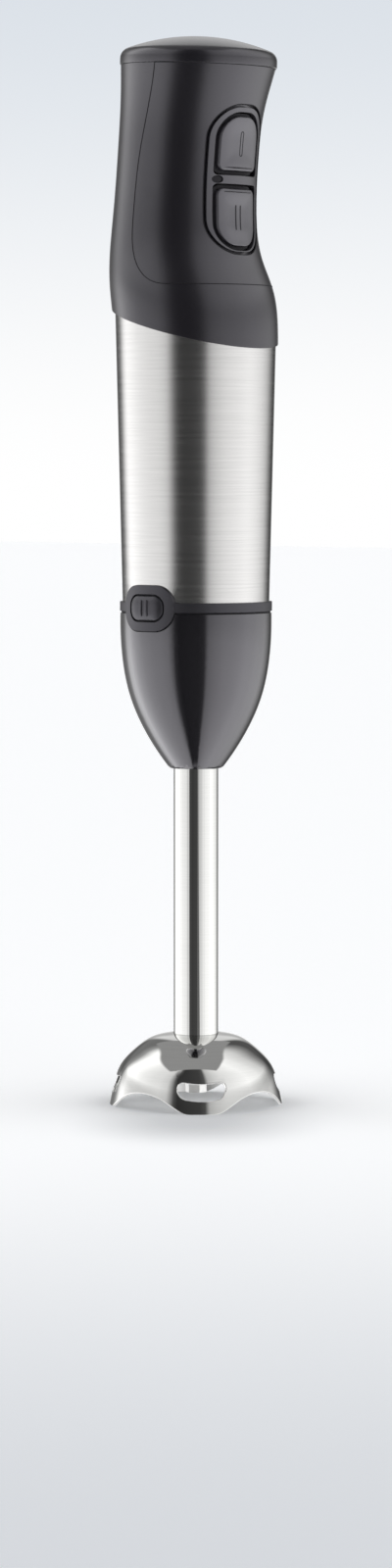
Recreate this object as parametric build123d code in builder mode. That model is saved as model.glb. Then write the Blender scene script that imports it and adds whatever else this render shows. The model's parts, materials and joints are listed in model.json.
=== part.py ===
from build123d import *
import os
from math import cos, radians, sin

os.makedirs("parts", exist_ok=True)

# Immersion blender: a motor unit with a handle, and a blending shaft that unlatches from it.
# +Z is up, the origin lies on the shaft's axis in the plane of the bell's foot, and the speed
# buttons face -Y. All sizes are in millimetres.

# ------------------------------------------------------------------ driving dimensions
# Heights, from the foot upwards
bell_height = 26.2
tube_visible = 98.5
cone_height = 57.3
parting_gap = 0.7
ring_height = 3.4
sleeve_height = 100.5
handle_height = 94.4
cap_rise = 11.0

# Fits
seat_gap = 0.1
running_gap = 0.05
moving_gap = 0.35

# Bell
bell_radius = 32.1
bell_wall = 1.2
foot_wave = 6.7
foot_land_angle = 8.0
lobes = 4
window_width = 18.0
window_height = 6.2
window_level = 7.8
window_bend_radius = 34.0
hub_radius = 11.5
hub_height = 10.5

# Blending tube and its spindle
tube_radius = 8.25
tube_wall = 0.9
spindle_radius = 2.5
bushing_length = 12.0
seal_height = 3.4
blade_level = 8.6
blade_reach = 22.0
blade_width = 9.0
blade_thickness = 1.3
blade_pitch = 14.0
blade_hub_radius = 5.0

# Shaft housing
housing_radius = 27.9
housing_foot_radius = 9.9
housing_wall = 2.4
socket_depth = 17.0
insert_thickness = 3.0

# Coupling
dog_radius = 8.0
dog_socket_depth = 11.0
spline_radius = 4.6
spline_root_radius = 3.4
spline_teeth = 6

# Collar and release buttons
collar_step = 0.1
collar_wall = 1.9
bezel_width = 23.0
bezel_height = 16.6
bezel_corner = 7.2
bezel_proud = 0.35
release_width = 16.0
release_height = 9.8
release_corner = 4.2
release_proud = 0.9
release_flange = 1.0
release_flange_thickness = 1.4
latch_width = 8.0
latch_thickness = 0.8
latch_barb = 3.2
latch_depth = 1.3

# Steel sleeve
sleeve_ledge = 1.0
sleeve_taper = 2.45
sleeve_wall = 0.8
joint_tilt = 15.4

# Handle
handle_wall = 2.2
handle_squash = 0.4
waist_narrowing = 3.55
waist_lean = 3.7
cap_tilt = 2.0
cap_narrowing = 0.75
cap_forward = 1.2
cap_wall = 2.2
cap_dome = 73.0
cap_shoulder = 4.0
cap_spigot = 5.0

# Control panel and speed buttons
panel_width = 27.4
panel_length = 51.8
panel_corner = 11.5
panel_level = 52.7
panel_groove = 1.1
panel_flange = 2.4
panel_flange_thickness = 1.2
button_width = 20.0
upper_button_length = 19.3
lower_button_length = 20.6
button_groove = 1.7
button_bridge = 3.1
button_round = 8.0
button_corner = 2.5
button_proud = 0.25
button_travel = 1.5
button_depth = 6.4
button_flange = 1.2
button_flange_thickness = 1.2
lens_width = 4.4
lens_height = 2.8
lens_offset = 9.9

# Switches
board_depth = 13.8
board_thickness = 1.6
board_width = 28.0
board_length = 52.0
switch_width = 13.0
switch_height = 6.4
switch_depth = 5.0
plunger_radius = 1.3

# Motor
chassis_wall = 2.0
chassis_rise = 2.6
mount_ring_wall = 1.6
motor_shaft_radius = 3.0
bearing_radius = 9.5
bearing_height = 6.0
stator_radius = 21.0
stator_flat = 19.0
armature_radius = 12.3
air_gap = 0.5
armature_slots = 10
winding_overhang = 7.0
commutator_radius = 8.0
commutator_length = 12.0
fan_radius = 17.0
fan_height = 7.0
fan_blades = 9
brush_width = 5.0
brush_height = 7.0
bolt_radius = 1.6

# Cord inlet
inlet_radius = 3.6
grommet_radius = 5.6
grommet_length = 8.0
grommet_proud = 1.2
inlet_below_seam = 12.0

# ------------------------------------------------------------------ levels worked out from them
z_cone = bell_height + tube_visible
z_parting = z_cone + cone_height
z_ring = z_parting + parting_gap
z_sleeve = z_ring + ring_height
z_joint = z_sleeve + sleeve_height
z_seam = z_joint + handle_height
z_release = z_ring + ring_height / 2 - 0.2
z_insert = z_parting - socket_depth
z_spigot = z_insert + insert_thickness + 1.0

# ------------------------------------------------------------------ widths worked out from them
collar_radius = housing_radius + collar_step
sleeve_foot_radius = collar_radius - sleeve_ledge
sleeve_top_radius = sleeve_foot_radius + sleeve_taper
chassis_radius = sleeve_foot_radius - sleeve_wall - seat_gap
cap_radius = sleeve_top_radius - cap_narrowing
waist_front = sleeve_top_radius - waist_narrowing - handle_squash - waist_lean
button_back = waist_front - button_depth
switch_board_face = waist_front - board_depth
handle_reach = 2 * sleeve_top_radius

joint_plane = Plane(
    origin=(0, 0, z_joint),
    x_dir=(1, 0, 0),
    z_dir=(0, -sin(radians(joint_tilt)), cos(radians(joint_tilt))),
)
seam_plane = Plane(
    origin=(0, -cap_forward, z_seam),
    x_dir=(1, 0, 0),
    z_dir=(0, -sin(radians(cap_tilt)), cos(radians(cap_tilt))),
)

# ------------------------------------------------------------------ shared forms
def inset_outline(outline, wall, crowned):
    """The inner face of a turned wall, worked out square to the outer face at each point."""
    foot = outline[0]
    top = outline[-1]
    inner = [(foot[0] - wall, foot[1])]
    for before, here, after in zip(outline, outline[1:], outline[2:]):
        run = after[0] - before[0]
        rise = after[1] - before[1]
        length = (run**2 + rise**2) ** 0.5
        inner.append((here[0] - wall * rise / length, here[1] + wall * run / length))
    inner.append((top[0], top[1] - wall) if crowned else (top[0] - wall, top[1]))
    return inner


def wall_section(outline, wall, crowned):
    """The section of a turned wall between its outer and its inner face."""
    inner = inset_outline(outline, wall, crowned)
    with BuildSketch() as section:
        with BuildLine():
            Spline(*outline)
            Line(outline[-1], inner[-1])
            Spline(*reversed(inner))
            Line(inner[0], outline[0])
        make_face()
    return section.sketch


def tube(outer, inner, low, high):
    """A plain ring or sleeve about the shaft's axis."""
    with BuildPart() as ring:
        with BuildSketch(Plane.XY.offset(low)):
            Circle(outer)
            Circle(inner, mode=Mode.SUBTRACT)
        extrude(amount=high - low)
    return ring.part


# Stations of the handle: share of its height above the joint, how far its side stands out from
# the sleeve's top, and how far it leans to the back.
handle_stations = [
    (-0.2, 0.55, -0.2),
    (-0.12, 0.65, -0.15),
    (-0.04, 0.75, 0.0),
    (0.045, 0.85, 0.5),
    (0.142, 0.55, 2.1),
    (0.269, -1.45, 5.0),
    (0.439, -3.1, 5.4),
    (0.672, -waist_narrowing, waist_lean),
    (0.8, -3.25, 2.3),
    (0.9, -2.35, 0.6),
    (0.983, -1.25, -0.95),
    (1.06, -0.35, -2.3),
]


def handle_form(inset=0.0):
    """The handle's smooth outer form as a solid, moved inwards by inset."""
    with BuildPart() as form:
        for share, swell, lean in handle_stations:
            radius = sleeve_top_radius + swell - inset
            with BuildSketch(Plane.XY.offset(z_joint + share * handle_height)):
                with Locations((0, lean)):
                    Ellipse(radius + handle_squash, radius - handle_squash)
        loft()
    return form.part


def button_outline(length, level, high_side, grow=0.0):
    """A speed button's outline on the front: large corners on its outer end, small on its inner."""
    with BuildSketch() as outline:
        with Locations((0, level)):
            Rectangle(button_width, length)
        corners = outline.vertices().group_by(Axis.Y)
        outer_corners = corners[-1] if high_side > 0 else corners[0]
        inner_corners = corners[0] if high_side > 0 else corners[-1]
        fillet(outer_corners, radius=button_round)
        fillet(inner_corners, radius=button_corner)
        if grow:
            offset(amount=grow)
    return outline.sketch


# ------------------------------------------------------------------ bell guard
# Outline of the bell as shares of its radius and height, from the flared foot to the tube.
bell_outline = [(1.0, 0.0), (0.952, 0.27), (0.875, 0.545), (0.715, 0.765), (0.515, 0.935)]
bell_points = [(share_r * bell_radius, share_z * bell_height) for share_r, share_z in bell_outline]
bell_points.append((tube_radius, bell_height))
lobe_turns = [360 / lobes * (number + 0.5) for number in range(lobes)]
wave_turns = [360 / lobes * number for number in range(lobes)]
wave_end = radians(180 / lobes - foot_land_angle)
wave_mid = radians(90 / lobes)
foot_radius = bell_radius - bell_wall / 2

with BuildPart() as bell_guard:
    with BuildSketch(Plane.XZ):
        add(wall_section(bell_points, bell_wall, crowned=True))
    revolve(axis=Axis.Z)
    with BuildSketch(Plane.XY):
        Circle(tube_radius)
    extrude(amount=bell_height + 1, mode=Mode.SUBTRACT)
    for turn in wave_turns:
        with BuildSketch(Plane.XZ.rotated((0, 0, turn))):
            with BuildLine():
                Spline(
                    (-foot_radius * sin(wave_end), 0),
                    (-foot_radius * sin(wave_mid), foot_wave / 2),
                    (0, foot_wave),
                    (foot_radius * sin(wave_mid), foot_wave / 2),
                    (foot_radius * sin(wave_end), 0),
                    tangents=((1, 0), (1, 0)),
                )
                Line((foot_radius * sin(wave_end), 0), (-foot_radius * sin(wave_end), 0))
            make_face()
        extrude(amount=bell_radius + 5, mode=Mode.SUBTRACT)
    window_half = (window_width - window_height) / 2
    window_sag = window_bend_radius - (window_bend_radius**2 - window_half**2) ** 0.5
    for turn in lobe_turns:
        with BuildSketch(Plane.XZ.rotated((0, 0, turn))):
            with BuildLine(mode=Mode.PRIVATE) as bend:
                ThreePointArc(
                    (-window_half, window_level + window_sag),
                    (0, window_level),
                    (window_half, window_level + window_sag),
                )
            SlotArc(bend.edges()[0], window_height)
        extrude(amount=bell_radius + 5, mode=Mode.SUBTRACT)
bell_guard.part.label = "bell_guard"
export_step(bell_guard.part, "parts/bell_guard.step")

# ------------------------------------------------------------------ blending tube and its seals
# The bell, the hub under its crown and the tube are one weldment on the product. The hub's top
# lies just under the bell's inner face.
z_hub = bell_height - hub_height
z_hub_top = bell_height - 3.2 * bell_wall
z_bushing = z_hub + seal_height
z_tube_foot = z_bushing
z_tube_top = z_insert - 2.0
tube_bore = tube_radius - tube_wall

with BuildPart() as bell_hub:
    with BuildSketch(Plane.XY.offset(z_hub)):
        Circle(hub_radius)
    extrude(amount=z_hub_top - z_hub)
    chamfer(bell_hub.faces().sort_by(Axis.Z)[0].edges(), length=1.2)
    with BuildSketch(Plane.XY.offset(z_tube_foot)):
        Circle(tube_radius)
    extrude(amount=hub_height, mode=Mode.SUBTRACT)
    with BuildSketch(Plane.XY.offset(z_hub)):
        Circle(tube_bore)
    extrude(amount=hub_height, mode=Mode.SUBTRACT)
bell_hub.part.label = "bell_hub"
export_step(bell_hub.part, "parts/bell_hub.step")

shaft_seal = tube(tube_bore, spindle_radius + running_gap, z_hub + 0.4, z_bushing)
shaft_seal.label = "shaft_seal"
export_step(shaft_seal, "parts/shaft_seal.step")

shaft_tube = tube(tube_radius, tube_bore, z_tube_foot, z_tube_top)
shaft_tube.label = "shaft_tube"
export_step(shaft_tube, "parts/shaft_tube.step")

lower_bushing = tube(tube_bore, spindle_radius + running_gap, z_bushing, z_bushing + bushing_length)
lower_bushing.label = "lower_bushing"
export_step(lower_bushing, "parts/lower_bushing.step")

# ------------------------------------------------------------------ shaft housing
# Outline of the housing, from the foot on the tube up to the parting with the motor unit.
housing_outline = [
    (housing_foot_radius, z_cone),
    (0.642 * housing_radius, z_cone + 0.208 * cone_height),
    (0.871 * housing_radius, z_cone + 0.459 * cone_height),
    (0.975 * housing_radius, z_cone + 0.710 * cone_height),
    (housing_radius, z_parting),
]
socket_radius = housing_radius - housing_wall
z_latch = z_spigot + latch_barb / 2 + 0.6

with BuildPart() as shaft_housing:
    with BuildSketch(Plane.XZ):
        add(wall_section(housing_outline, housing_wall, crowned=False))
    revolve(axis=Axis.Z)
    with BuildSketch(Plane.XY.offset(z_cone)):
        Circle(tube_radius + 2 * housing_wall / 3)
    extrude(amount=8.0)
    with BuildSketch(Plane.XY.offset(z_cone)):
        Circle(tube_radius)
    extrude(amount=9.0, mode=Mode.SUBTRACT)
    with BuildSketch(Plane.XY.offset(z_insert)):
        Circle(socket_radius)
    extrude(amount=socket_depth, mode=Mode.SUBTRACT)
    with BuildSketch(Plane.YZ.offset(-housing_radius - 5)):
        with Locations((0, z_release)):
            RectangleRounded(
                bezel_width + 2 * moving_gap, bezel_height + 2 * moving_gap, bezel_corner + moving_gap
            )
    extrude(amount=2 * housing_radius + 10, mode=Mode.SUBTRACT)
    with BuildSketch(Plane.YZ.offset(-socket_radius - latch_depth)):
        with Locations((0, z_latch)):
            Rectangle(latch_width + 1.0, latch_barb + 1.0)
    extrude(amount=2 * socket_radius + 2 * latch_depth, mode=Mode.SUBTRACT)
shaft_housing.part.label = "shaft_housing"
export_step(shaft_housing.part, "parts/shaft_housing.step")

boss_radius = tube_radius + 2.2
with BuildPart() as housing_insert:
    with BuildSketch(Plane.XY.offset(z_insert)):
        Circle(socket_radius - seat_gap)
    extrude(amount=insert_thickness)
    with BuildSketch(Plane.XY.offset(z_insert - 12.0)):
        Circle(boss_radius)
    extrude(amount=12.0 + insert_thickness + 2.0)
    with PolarLocations((boss_radius + socket_radius) / 2, 6):
        with Locations((0, 0, z_insert - 3.0)):
            Box(socket_radius - boss_radius - 3.0, 1.6, 6.0, align=(Align.CENTER, Align.CENTER, Align.MIN))
    with BuildSketch(Plane.XY.offset(z_insert - 13.0)):
        Circle(tube_radius)
    extrude(amount=13.0 - 2.0, mode=Mode.SUBTRACT)
    with BuildSketch(Plane.XY.offset(z_insert - 3.0)):
        Circle(spindle_radius + 3.2)
    extrude(amount=insert_thickness + 6.0, mode=Mode.SUBTRACT)
housing_insert.part.label = "housing_insert"
export_step(housing_insert.part, "parts/housing_insert.step")

upper_bushing = tube(
    spindle_radius + 3.2, spindle_radius + running_gap, z_insert - 2.0, z_insert + insert_thickness + 2.0
)
upper_bushing.label = "upper_bushing"
export_step(upper_bushing, "parts/upper_bushing.step")

# ------------------------------------------------------------------ spindle: shaft, coupling and blade
z_dog = z_insert + insert_thickness + 7.0
z_spline = z_dog - 1.0
z_flange = z_insert + insert_thickness + 2.4
spline_top = z_dog + dog_socket_depth - 1.6
z_blade_hub = blade_level - 2.6
z_spindle_foot = z_blade_hub - 1.2


def spline_outline(tip, root):
    """A star of rounded teeth, as on a splined drive coupling."""
    with BuildSketch() as outline:
        Circle(root)
        with PolarLocations(0, spline_teeth):
            with Locations((tip / 2, 0)):
                Rectangle(tip, 0.62 * root)
        Circle(tip, mode=Mode.INTERSECT)
    return outline.sketch


with BuildPart() as drive_shaft:
    with BuildSketch(Plane.XY.offset(z_spindle_foot)):
        Circle(spindle_radius)
    extrude(amount=spline_top - 3.0 - z_spindle_foot)
drive_shaft.part.label = "drive_shaft"
export_step(drive_shaft.part, "parts/drive_shaft.step")

with BuildPart() as driven_coupling:
    with BuildSketch(Plane.XY.offset(z_flange)):
        Circle(dog_radius - 1.0)
    extrude(amount=z_spline - z_flange)
    with BuildSketch(Plane.XY.offset(z_spline)):
        add(spline_outline(spline_radius, spline_root_radius))
    extrude(amount=spline_top - z_spline)
    with BuildSketch(Plane.XY.offset(z_flange)):
        Circle(spindle_radius)
    extrude(amount=spline_top - 3.0 - z_flange, mode=Mode.SUBTRACT)
driven_coupling.part.label = "driven_coupling"
export_step(driven_coupling.part, "parts/driven_coupling.step")

with BuildPart() as blade_hub:
    with BuildSketch(Plane.XY.offset(blade_level + blade_thickness / 2)):
        Circle(blade_hub_radius)
    extrude(amount=z_hub - 0.6 - blade_level - blade_thickness / 2)
    with BuildSketch(Plane.XY.offset(blade_level)):
        Circle(spindle_radius)
    extrude(amount=hub_height, mode=Mode.SUBTRACT)
blade_hub.part.label = "blade_hub"
export_step(blade_hub.part, "parts/blade_hub.step")

with BuildPart() as blade:
    with BuildSketch(Plane.XY.offset(blade_level - blade_thickness / 2)):
        Circle(blade_hub_radius + 1.0)
    extrude(amount=blade_thickness)
    for side in (0, 180):
        pitch = blade_pitch if side == 0 else -blade_pitch
        root = Plane.XY.offset(blade_level).rotated((0, 0, side))
        wing = Plane(root.origin, x_dir=root.x_dir, z_dir=root.z_dir).rotated((0, -pitch / 2, 0))
        with BuildSketch(wing.offset(-blade_thickness / 2)):
            with BuildLine():
                l1 = Line((blade_hub_radius + 0.3, -blade_width / 2), (0.55 * blade_reach, -blade_width / 2))
                l2 = ThreePointArc(
                    l1 @ 1,
                    (0.88 * blade_reach, -0.18 * blade_width),
                    (blade_reach, 0.38 * blade_width),
                )
                l3 = ThreePointArc(
                    l2 @ 1,
                    (0.62 * blade_reach, 0.42 * blade_width),
                    (blade_hub_radius + 0.3, blade_width / 2),
                )
                Line(l3 @ 1, l1 @ 0)
            make_face()
        extrude(amount=blade_thickness)
    with BuildSketch(Plane.XY.offset(blade_level - 5)):
        Circle(spindle_radius)
    extrude(amount=10, mode=Mode.SUBTRACT)
blade.part.label = "blade"
export_step(blade.part, "parts/blade.step")

with BuildPart() as blade_nut:
    with BuildSketch(Plane.XY.offset(z_spindle_foot - 0.6)):
        RegularPolygon(4.0, 6)
    extrude(amount=blade_level - blade_thickness / 2 - z_spindle_foot + 0.6)
    with BuildSketch(Plane.XY.offset(z_spindle_foot)):
        Circle(spindle_radius)
    extrude(amount=10, mode=Mode.SUBTRACT)
blade_nut.part.label = "blade_nut"
export_step(blade_nut.part, "parts/blade_nut.step")

# ------------------------------------------------------------------ collar, release buttons and latch springs
collar_bore = chassis_radius - chassis_wall - seat_gap - collar_wall
spigot_radius = socket_radius - moving_gap
bezel_face = collar_radius + bezel_proud
flange_face = collar_bore - 0.3
spring_face = flange_face - release_flange_thickness - 0.2
z_anchor = z_release + release_height / 2 + release_flange + 0.6
anchor_height = 4.0


def bezel_outline(grow=0.0):
    """The release button's surround as seen from the side."""
    with BuildSketch() as outline:
        with Locations((0, z_release)):
            RectangleRounded(bezel_width + 2 * grow, bezel_height + 2 * grow, bezel_corner + grow)
    return outline.sketch


def button_hole(grow=0.0):
    """The release button's own outline as seen from the side."""
    with BuildSketch() as outline:
        with Locations((0, z_release)):
            RectangleRounded(release_width + 2 * grow, release_height + 2 * grow, release_corner + grow)
    return outline.sketch


with BuildPart() as collar_ring:
    with BuildSketch(Plane.YZ):
        add(bezel_outline())
    extrude(amount=bezel_face + 5, both=True)
    with BuildSketch(Plane.XY.offset(z_release - bezel_height)):
        Circle(bezel_face)
    extrude(amount=2 * bezel_height, mode=Mode.INTERSECT)
    with BuildSketch(Plane.XY.offset(z_ring)):
        Circle(collar_radius)
    extrude(amount=ring_height)
    with BuildSketch(Plane.XY.offset(z_spigot)):
        Circle(spigot_radius)
    extrude(amount=z_ring - z_spigot)
    with BuildSketch(Plane.XY.offset(z_sleeve)):
        Circle(collar_bore + collar_wall)
    extrude(amount=z_anchor + anchor_height - z_sleeve)
    with BuildSketch(Plane.XY.offset(z_spigot)):
        Circle(collar_bore)
    extrude(amount=z_anchor + anchor_height - z_spigot, mode=Mode.SUBTRACT)
    for side in (-1, 1):
        with Locations((side * (spring_face + collar_bore + 0.5) / 2, 0, z_anchor)):
            Box(
                collar_bore + 0.5 - spring_face,
                latch_width + 2.0,
                anchor_height,
                align=(Align.CENTER, Align.CENTER, Align.MIN),
            )
    with BuildSketch(Plane.YZ):
        add(button_hole(release_flange + moving_gap))
    extrude(amount=collar_bore, both=True, mode=Mode.SUBTRACT)
    with BuildSketch(Plane.YZ):
        add(button_hole(running_gap + 0.1))
    extrude(amount=bezel_face + 5, both=True, mode=Mode.SUBTRACT)
    with Locations((0, 0, z_latch)):
        Box(2 * collar_radius, latch_width + 0.8, latch_barb + 1.2, mode=Mode.SUBTRACT)
collar_ring.part.label = "collar_ring"
export_step(collar_ring.part, "parts/collar_ring.step")

for side, name in ((-1, "left"), (1, "right")):
    with BuildPart() as release_button:
        with BuildSketch(Plane.YZ.offset(side * spring_face + side * 0.2)):
            add(button_hole())
        extrude(amount=side * (bezel_face + release_proud + 3))
        with BuildSketch(Plane.XY.offset(z_release - release_height)):
            Circle(bezel_face + release_proud)
        extrude(amount=2 * release_height, mode=Mode.INTERSECT)
        for shift in (-1.3, 1.3):
            with Locations((side * (bezel_face + release_proud - 0.2), shift, z_release)):
                Box(1.2, 1.0, 0.62 * release_height)
        with BuildSketch(Plane.YZ.offset(side * (spring_face + 0.2))):
            add(button_hole(release_flange))
        extrude(amount=side * release_flange_thickness)
    release_button.part.label = f"release_button_{name}"
    export_step(release_button.part, f"parts/release_button_{name}.step")

    with BuildPart() as latch_spring:
        with Locations((side * spring_face, 0, z_spigot + 0.4)):
            Box(
                latch_thickness,
                latch_width,
                z_anchor + anchor_height - z_spigot - 0.4,
                align=(Align.MAX if side > 0 else Align.MIN, Align.CENTER, Align.MIN),
            )
        with BuildSketch(Plane.XZ.offset(-latch_width / 2)):
            with BuildLine():
                Polyline(
                    (side * spring_face, z_latch - latch_barb / 2),
                    (side * (socket_radius + latch_depth - 0.3), z_latch + latch_barb / 2 - 1.2),
                    (side * (socket_radius + latch_depth - 0.3), z_latch + latch_barb / 2),
                    (side * spring_face, z_latch + latch_barb / 2),
                    close=True,
                )
            make_face()
        extrude(amount=latch_width)
    latch_spring.part.label = f"latch_spring_{name}"
    export_step(latch_spring.part, f"parts/latch_spring_{name}.step")

# ------------------------------------------------------------------ steel sleeve
sleeve_slope = (sleeve_top_radius - sleeve_foot_radius) / sleeve_height
sleeve_reach = 1.35 * sleeve_height
with BuildPart() as steel_sleeve:
    with BuildSketch(Plane.XZ):
        with BuildLine():
            Polyline(
                (sleeve_foot_radius, z_sleeve),
                (sleeve_foot_radius + sleeve_slope * sleeve_reach, z_sleeve + sleeve_reach),
                (sleeve_foot_radius + sleeve_slope * sleeve_reach - sleeve_wall, z_sleeve + sleeve_reach),
                (sleeve_foot_radius - sleeve_wall, z_sleeve),
                close=True,
            )
        make_face()
    revolve(axis=Axis.Z)
    split(bisect_by=joint_plane, keep=Keep.BOTTOM)
    with BuildSketch(Plane.YZ):
        add(bezel_outline(seat_gap))
    extrude(amount=2 * collar_radius, both=True, mode=Mode.SUBTRACT)
steel_sleeve.part.label = "steel_sleeve"
export_step(steel_sleeve.part, "parts/steel_sleeve.step")

# ------------------------------------------------------------------ handle shells
outer_form = handle_form()
inner_form = handle_form(handle_wall)
lining_form = handle_form(handle_wall + seat_gap)
panel_z = z_joint + panel_level
upper_button_z = panel_z + button_bridge / 2 + button_groove + upper_button_length / 2
lower_button_z = panel_z - button_bridge / 2 - button_groove - lower_button_length / 2
# The seam between the handle's shells, seen from the side: depth, and share of the height below the cap
seam_shares = [
    (-5.5, -0.021),
    (-1.5, 0.127),
    (4.2, 0.339),
    (6.9, 0.572),
    (5.2, 0.731),
    (0.0, 0.805),
    (-10.0, 0.843),
]
seam_side = [(depth, z_seam - share * handle_height) for depth, share in seam_shares]


def front_region(grow=0.0):
    """The space in front of the seam between the handle's two shells."""
    points = [(depth + grow, height) for depth, height in seam_side]
    with BuildPart() as region:
        with BuildSketch(Plane.YZ):
            with BuildLine():
                Spline(*points, tangents=((0.2, -1), (-1, -0.02)))
                Line(points[-1], (-handle_reach, points[-1][1]))
                Line((-handle_reach, points[-1][1]), (-handle_reach, points[0][1] + 10))
                Line((-handle_reach, points[0][1] + 10), (points[0][0], points[0][1] + 10))
                Line((points[0][0], points[0][1] + 10), points[0])
            make_face()
        extrude(amount=handle_reach, both=True)
    return region.part


def panel_outline(grow=0.0):
    """The control panel's outline on the front of the handle."""
    with BuildSketch() as outline:
        with Locations((0, panel_z)):
            RectangleRounded(panel_width + 2 * grow, panel_length + 2 * grow, panel_corner + grow)
    return outline.sketch


with BuildPart() as handle_shell:
    add(outer_form)
    add(inner_form, mode=Mode.SUBTRACT)
    split(bisect_by=joint_plane, keep=Keep.TOP)
    split(bisect_by=seam_plane, keep=Keep.BOTTOM)

with BuildPart() as front_cover:
    add(handle_shell.part)
    add(front_region(-seat_gap / 2), mode=Mode.INTERSECT)
    with BuildSketch(Plane.XZ):
        add(panel_outline(panel_groove))
    extrude(amount=handle_reach, mode=Mode.SUBTRACT)
front_cover.part.label = "front_cover"
export_step(front_cover.part, "parts/front_cover.step")

z_inlet = z_seam - inlet_below_seam
with BuildPart() as rear_housing:
    add(handle_shell.part)
    add(front_region(seat_gap / 2), mode=Mode.SUBTRACT)
    with BuildSketch(Plane.XZ):
        with Locations((0, z_inlet)):
            Circle(grommet_radius)
    extrude(amount=-handle_reach, mode=Mode.SUBTRACT)
rear_housing.part.label = "rear_housing"
export_step(rear_housing.part, "parts/rear_housing.step")

cap_side = cap_radius - 0.1
cavity_side = cap_radius - 2.2 * cap_wall


def dome_height(reach, depth=0.0):
    """Height of the cap's dome, or of its inner face depth below it, at a reach from its axis."""
    radius = cap_dome - depth
    return cap_rise - depth - radius + (radius**2 - reach**2) ** 0.5


with BuildPart() as dome:
    with BuildSketch(Plane.XZ):
        with BuildLine() as outline:
            Polyline((0, cap_rise), (0, 0), (cap_radius - 0.3, 0), (cap_radius, 0.8))
            Line((cap_radius, 0.8), (cap_side, dome_height(cap_side)))
            ThreePointArc(
                (cap_side, dome_height(cap_side)),
                (cap_side / 2, dome_height(cap_side / 2)),
                (0, cap_rise),
            )
        make_face()
        fillet(outline.vertices().sort_by(Axis.X)[-2:].sort_by(Axis.Y)[-1], radius=cap_shoulder)
    revolve(axis=Axis.Z)

with BuildPart() as cavity:
    with BuildSketch(Plane.XZ):
        with BuildLine():
            Polyline(
                (0, cap_rise - cap_wall),
                (0, -2 * cap_spigot),
                (cavity_side, -2 * cap_spigot),
                (cavity_side, dome_height(cavity_side, cap_wall)),
            )
            ThreePointArc(
                (cavity_side, dome_height(cavity_side, cap_wall)),
                (cavity_side / 2, dome_height(cavity_side / 2, cap_wall)),
                (0, cap_rise - cap_wall),
            )
        make_face()
    revolve(axis=Axis.Z)

with BuildPart() as top_cap:
    add(lining_form)
    split(bisect_by=seam_plane.offset(1.0), keep=Keep.BOTTOM)
    split(bisect_by=seam_plane.offset(-cap_spigot), keep=Keep.TOP)
    add(dome.part.moved(Location(seam_plane)))
    add(cavity.part.moved(Location(seam_plane)), mode=Mode.SUBTRACT)
top_cap.part.label = "top_cap"
export_step(top_cap.part, "parts/top_cap.step")

inlet_points = outer_form.find_intersection_points(Axis((0, 0, z_inlet), (0, 1, 0)))
inlet_back = max(hit[0].Y for hit in inlet_points)
with BuildPart() as cord_grommet:
    with BuildSketch(Plane.XZ.offset(-inlet_back - grommet_proud)):
        with Locations((0, z_inlet)):
            Circle(grommet_radius - running_gap)
            Circle(inlet_radius, mode=Mode.SUBTRACT)
    extrude(amount=grommet_length)
    outer_rims = cord_grommet.edges().filter_by(GeomType.CIRCLE).group_by(Axis.Y)[-1]
    fillet(outer_rims.sort_by(SortBy.RADIUS)[-1], radius=0.8)
cord_grommet.part.label = "cord_grommet"
export_step(cord_grommet.part, "parts/cord_grommet.step")

# ------------------------------------------------------------------ control panel and speed buttons
lens_x = -lens_offset
with BuildPart() as control_panel:
    with BuildSketch(Plane.XZ):
        add(panel_outline())
    extrude(amount=handle_reach)
    add(outer_form, mode=Mode.INTERSECT)
    with BuildPart(mode=Mode.PRIVATE) as flange:
        with BuildSketch(Plane.XZ):
            add(panel_outline(panel_flange))
        extrude(amount=handle_reach)
        add(lining_form, mode=Mode.INTERSECT)
    add(flange.part)
    add(handle_form(handle_wall + seat_gap + panel_flange_thickness), mode=Mode.SUBTRACT)
    for length, level, side in (
        (upper_button_length, upper_button_z, 1),
        (lower_button_length, lower_button_z, -1),
    ):
        with BuildSketch(Plane.XZ):
            add(button_outline(length, level, side, button_groove))
        extrude(amount=handle_reach, mode=Mode.SUBTRACT)
    with BuildSketch(Plane.XZ):
        with Locations((lens_x, panel_z)):
            Ellipse(lens_width / 2, lens_height / 2)
    extrude(amount=handle_reach, mode=Mode.SUBTRACT)
control_panel.part.label = "control_panel"
export_step(control_panel.part, "parts/control_panel.step")

with BuildPart() as indicator_lens:
    with BuildSketch(Plane.XZ):
        with Locations((lens_x, panel_z)):
            Ellipse(lens_width / 2 - seat_gap, lens_height / 2 - seat_gap)
    extrude(amount=handle_reach)
    add(handle_form(0.5), mode=Mode.INTERSECT)
    add(handle_form(handle_wall), mode=Mode.SUBTRACT)
indicator_lens.part.label = "indicator_lens"
export_step(indicator_lens.part, "parts/indicator_lens.step")

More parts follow.
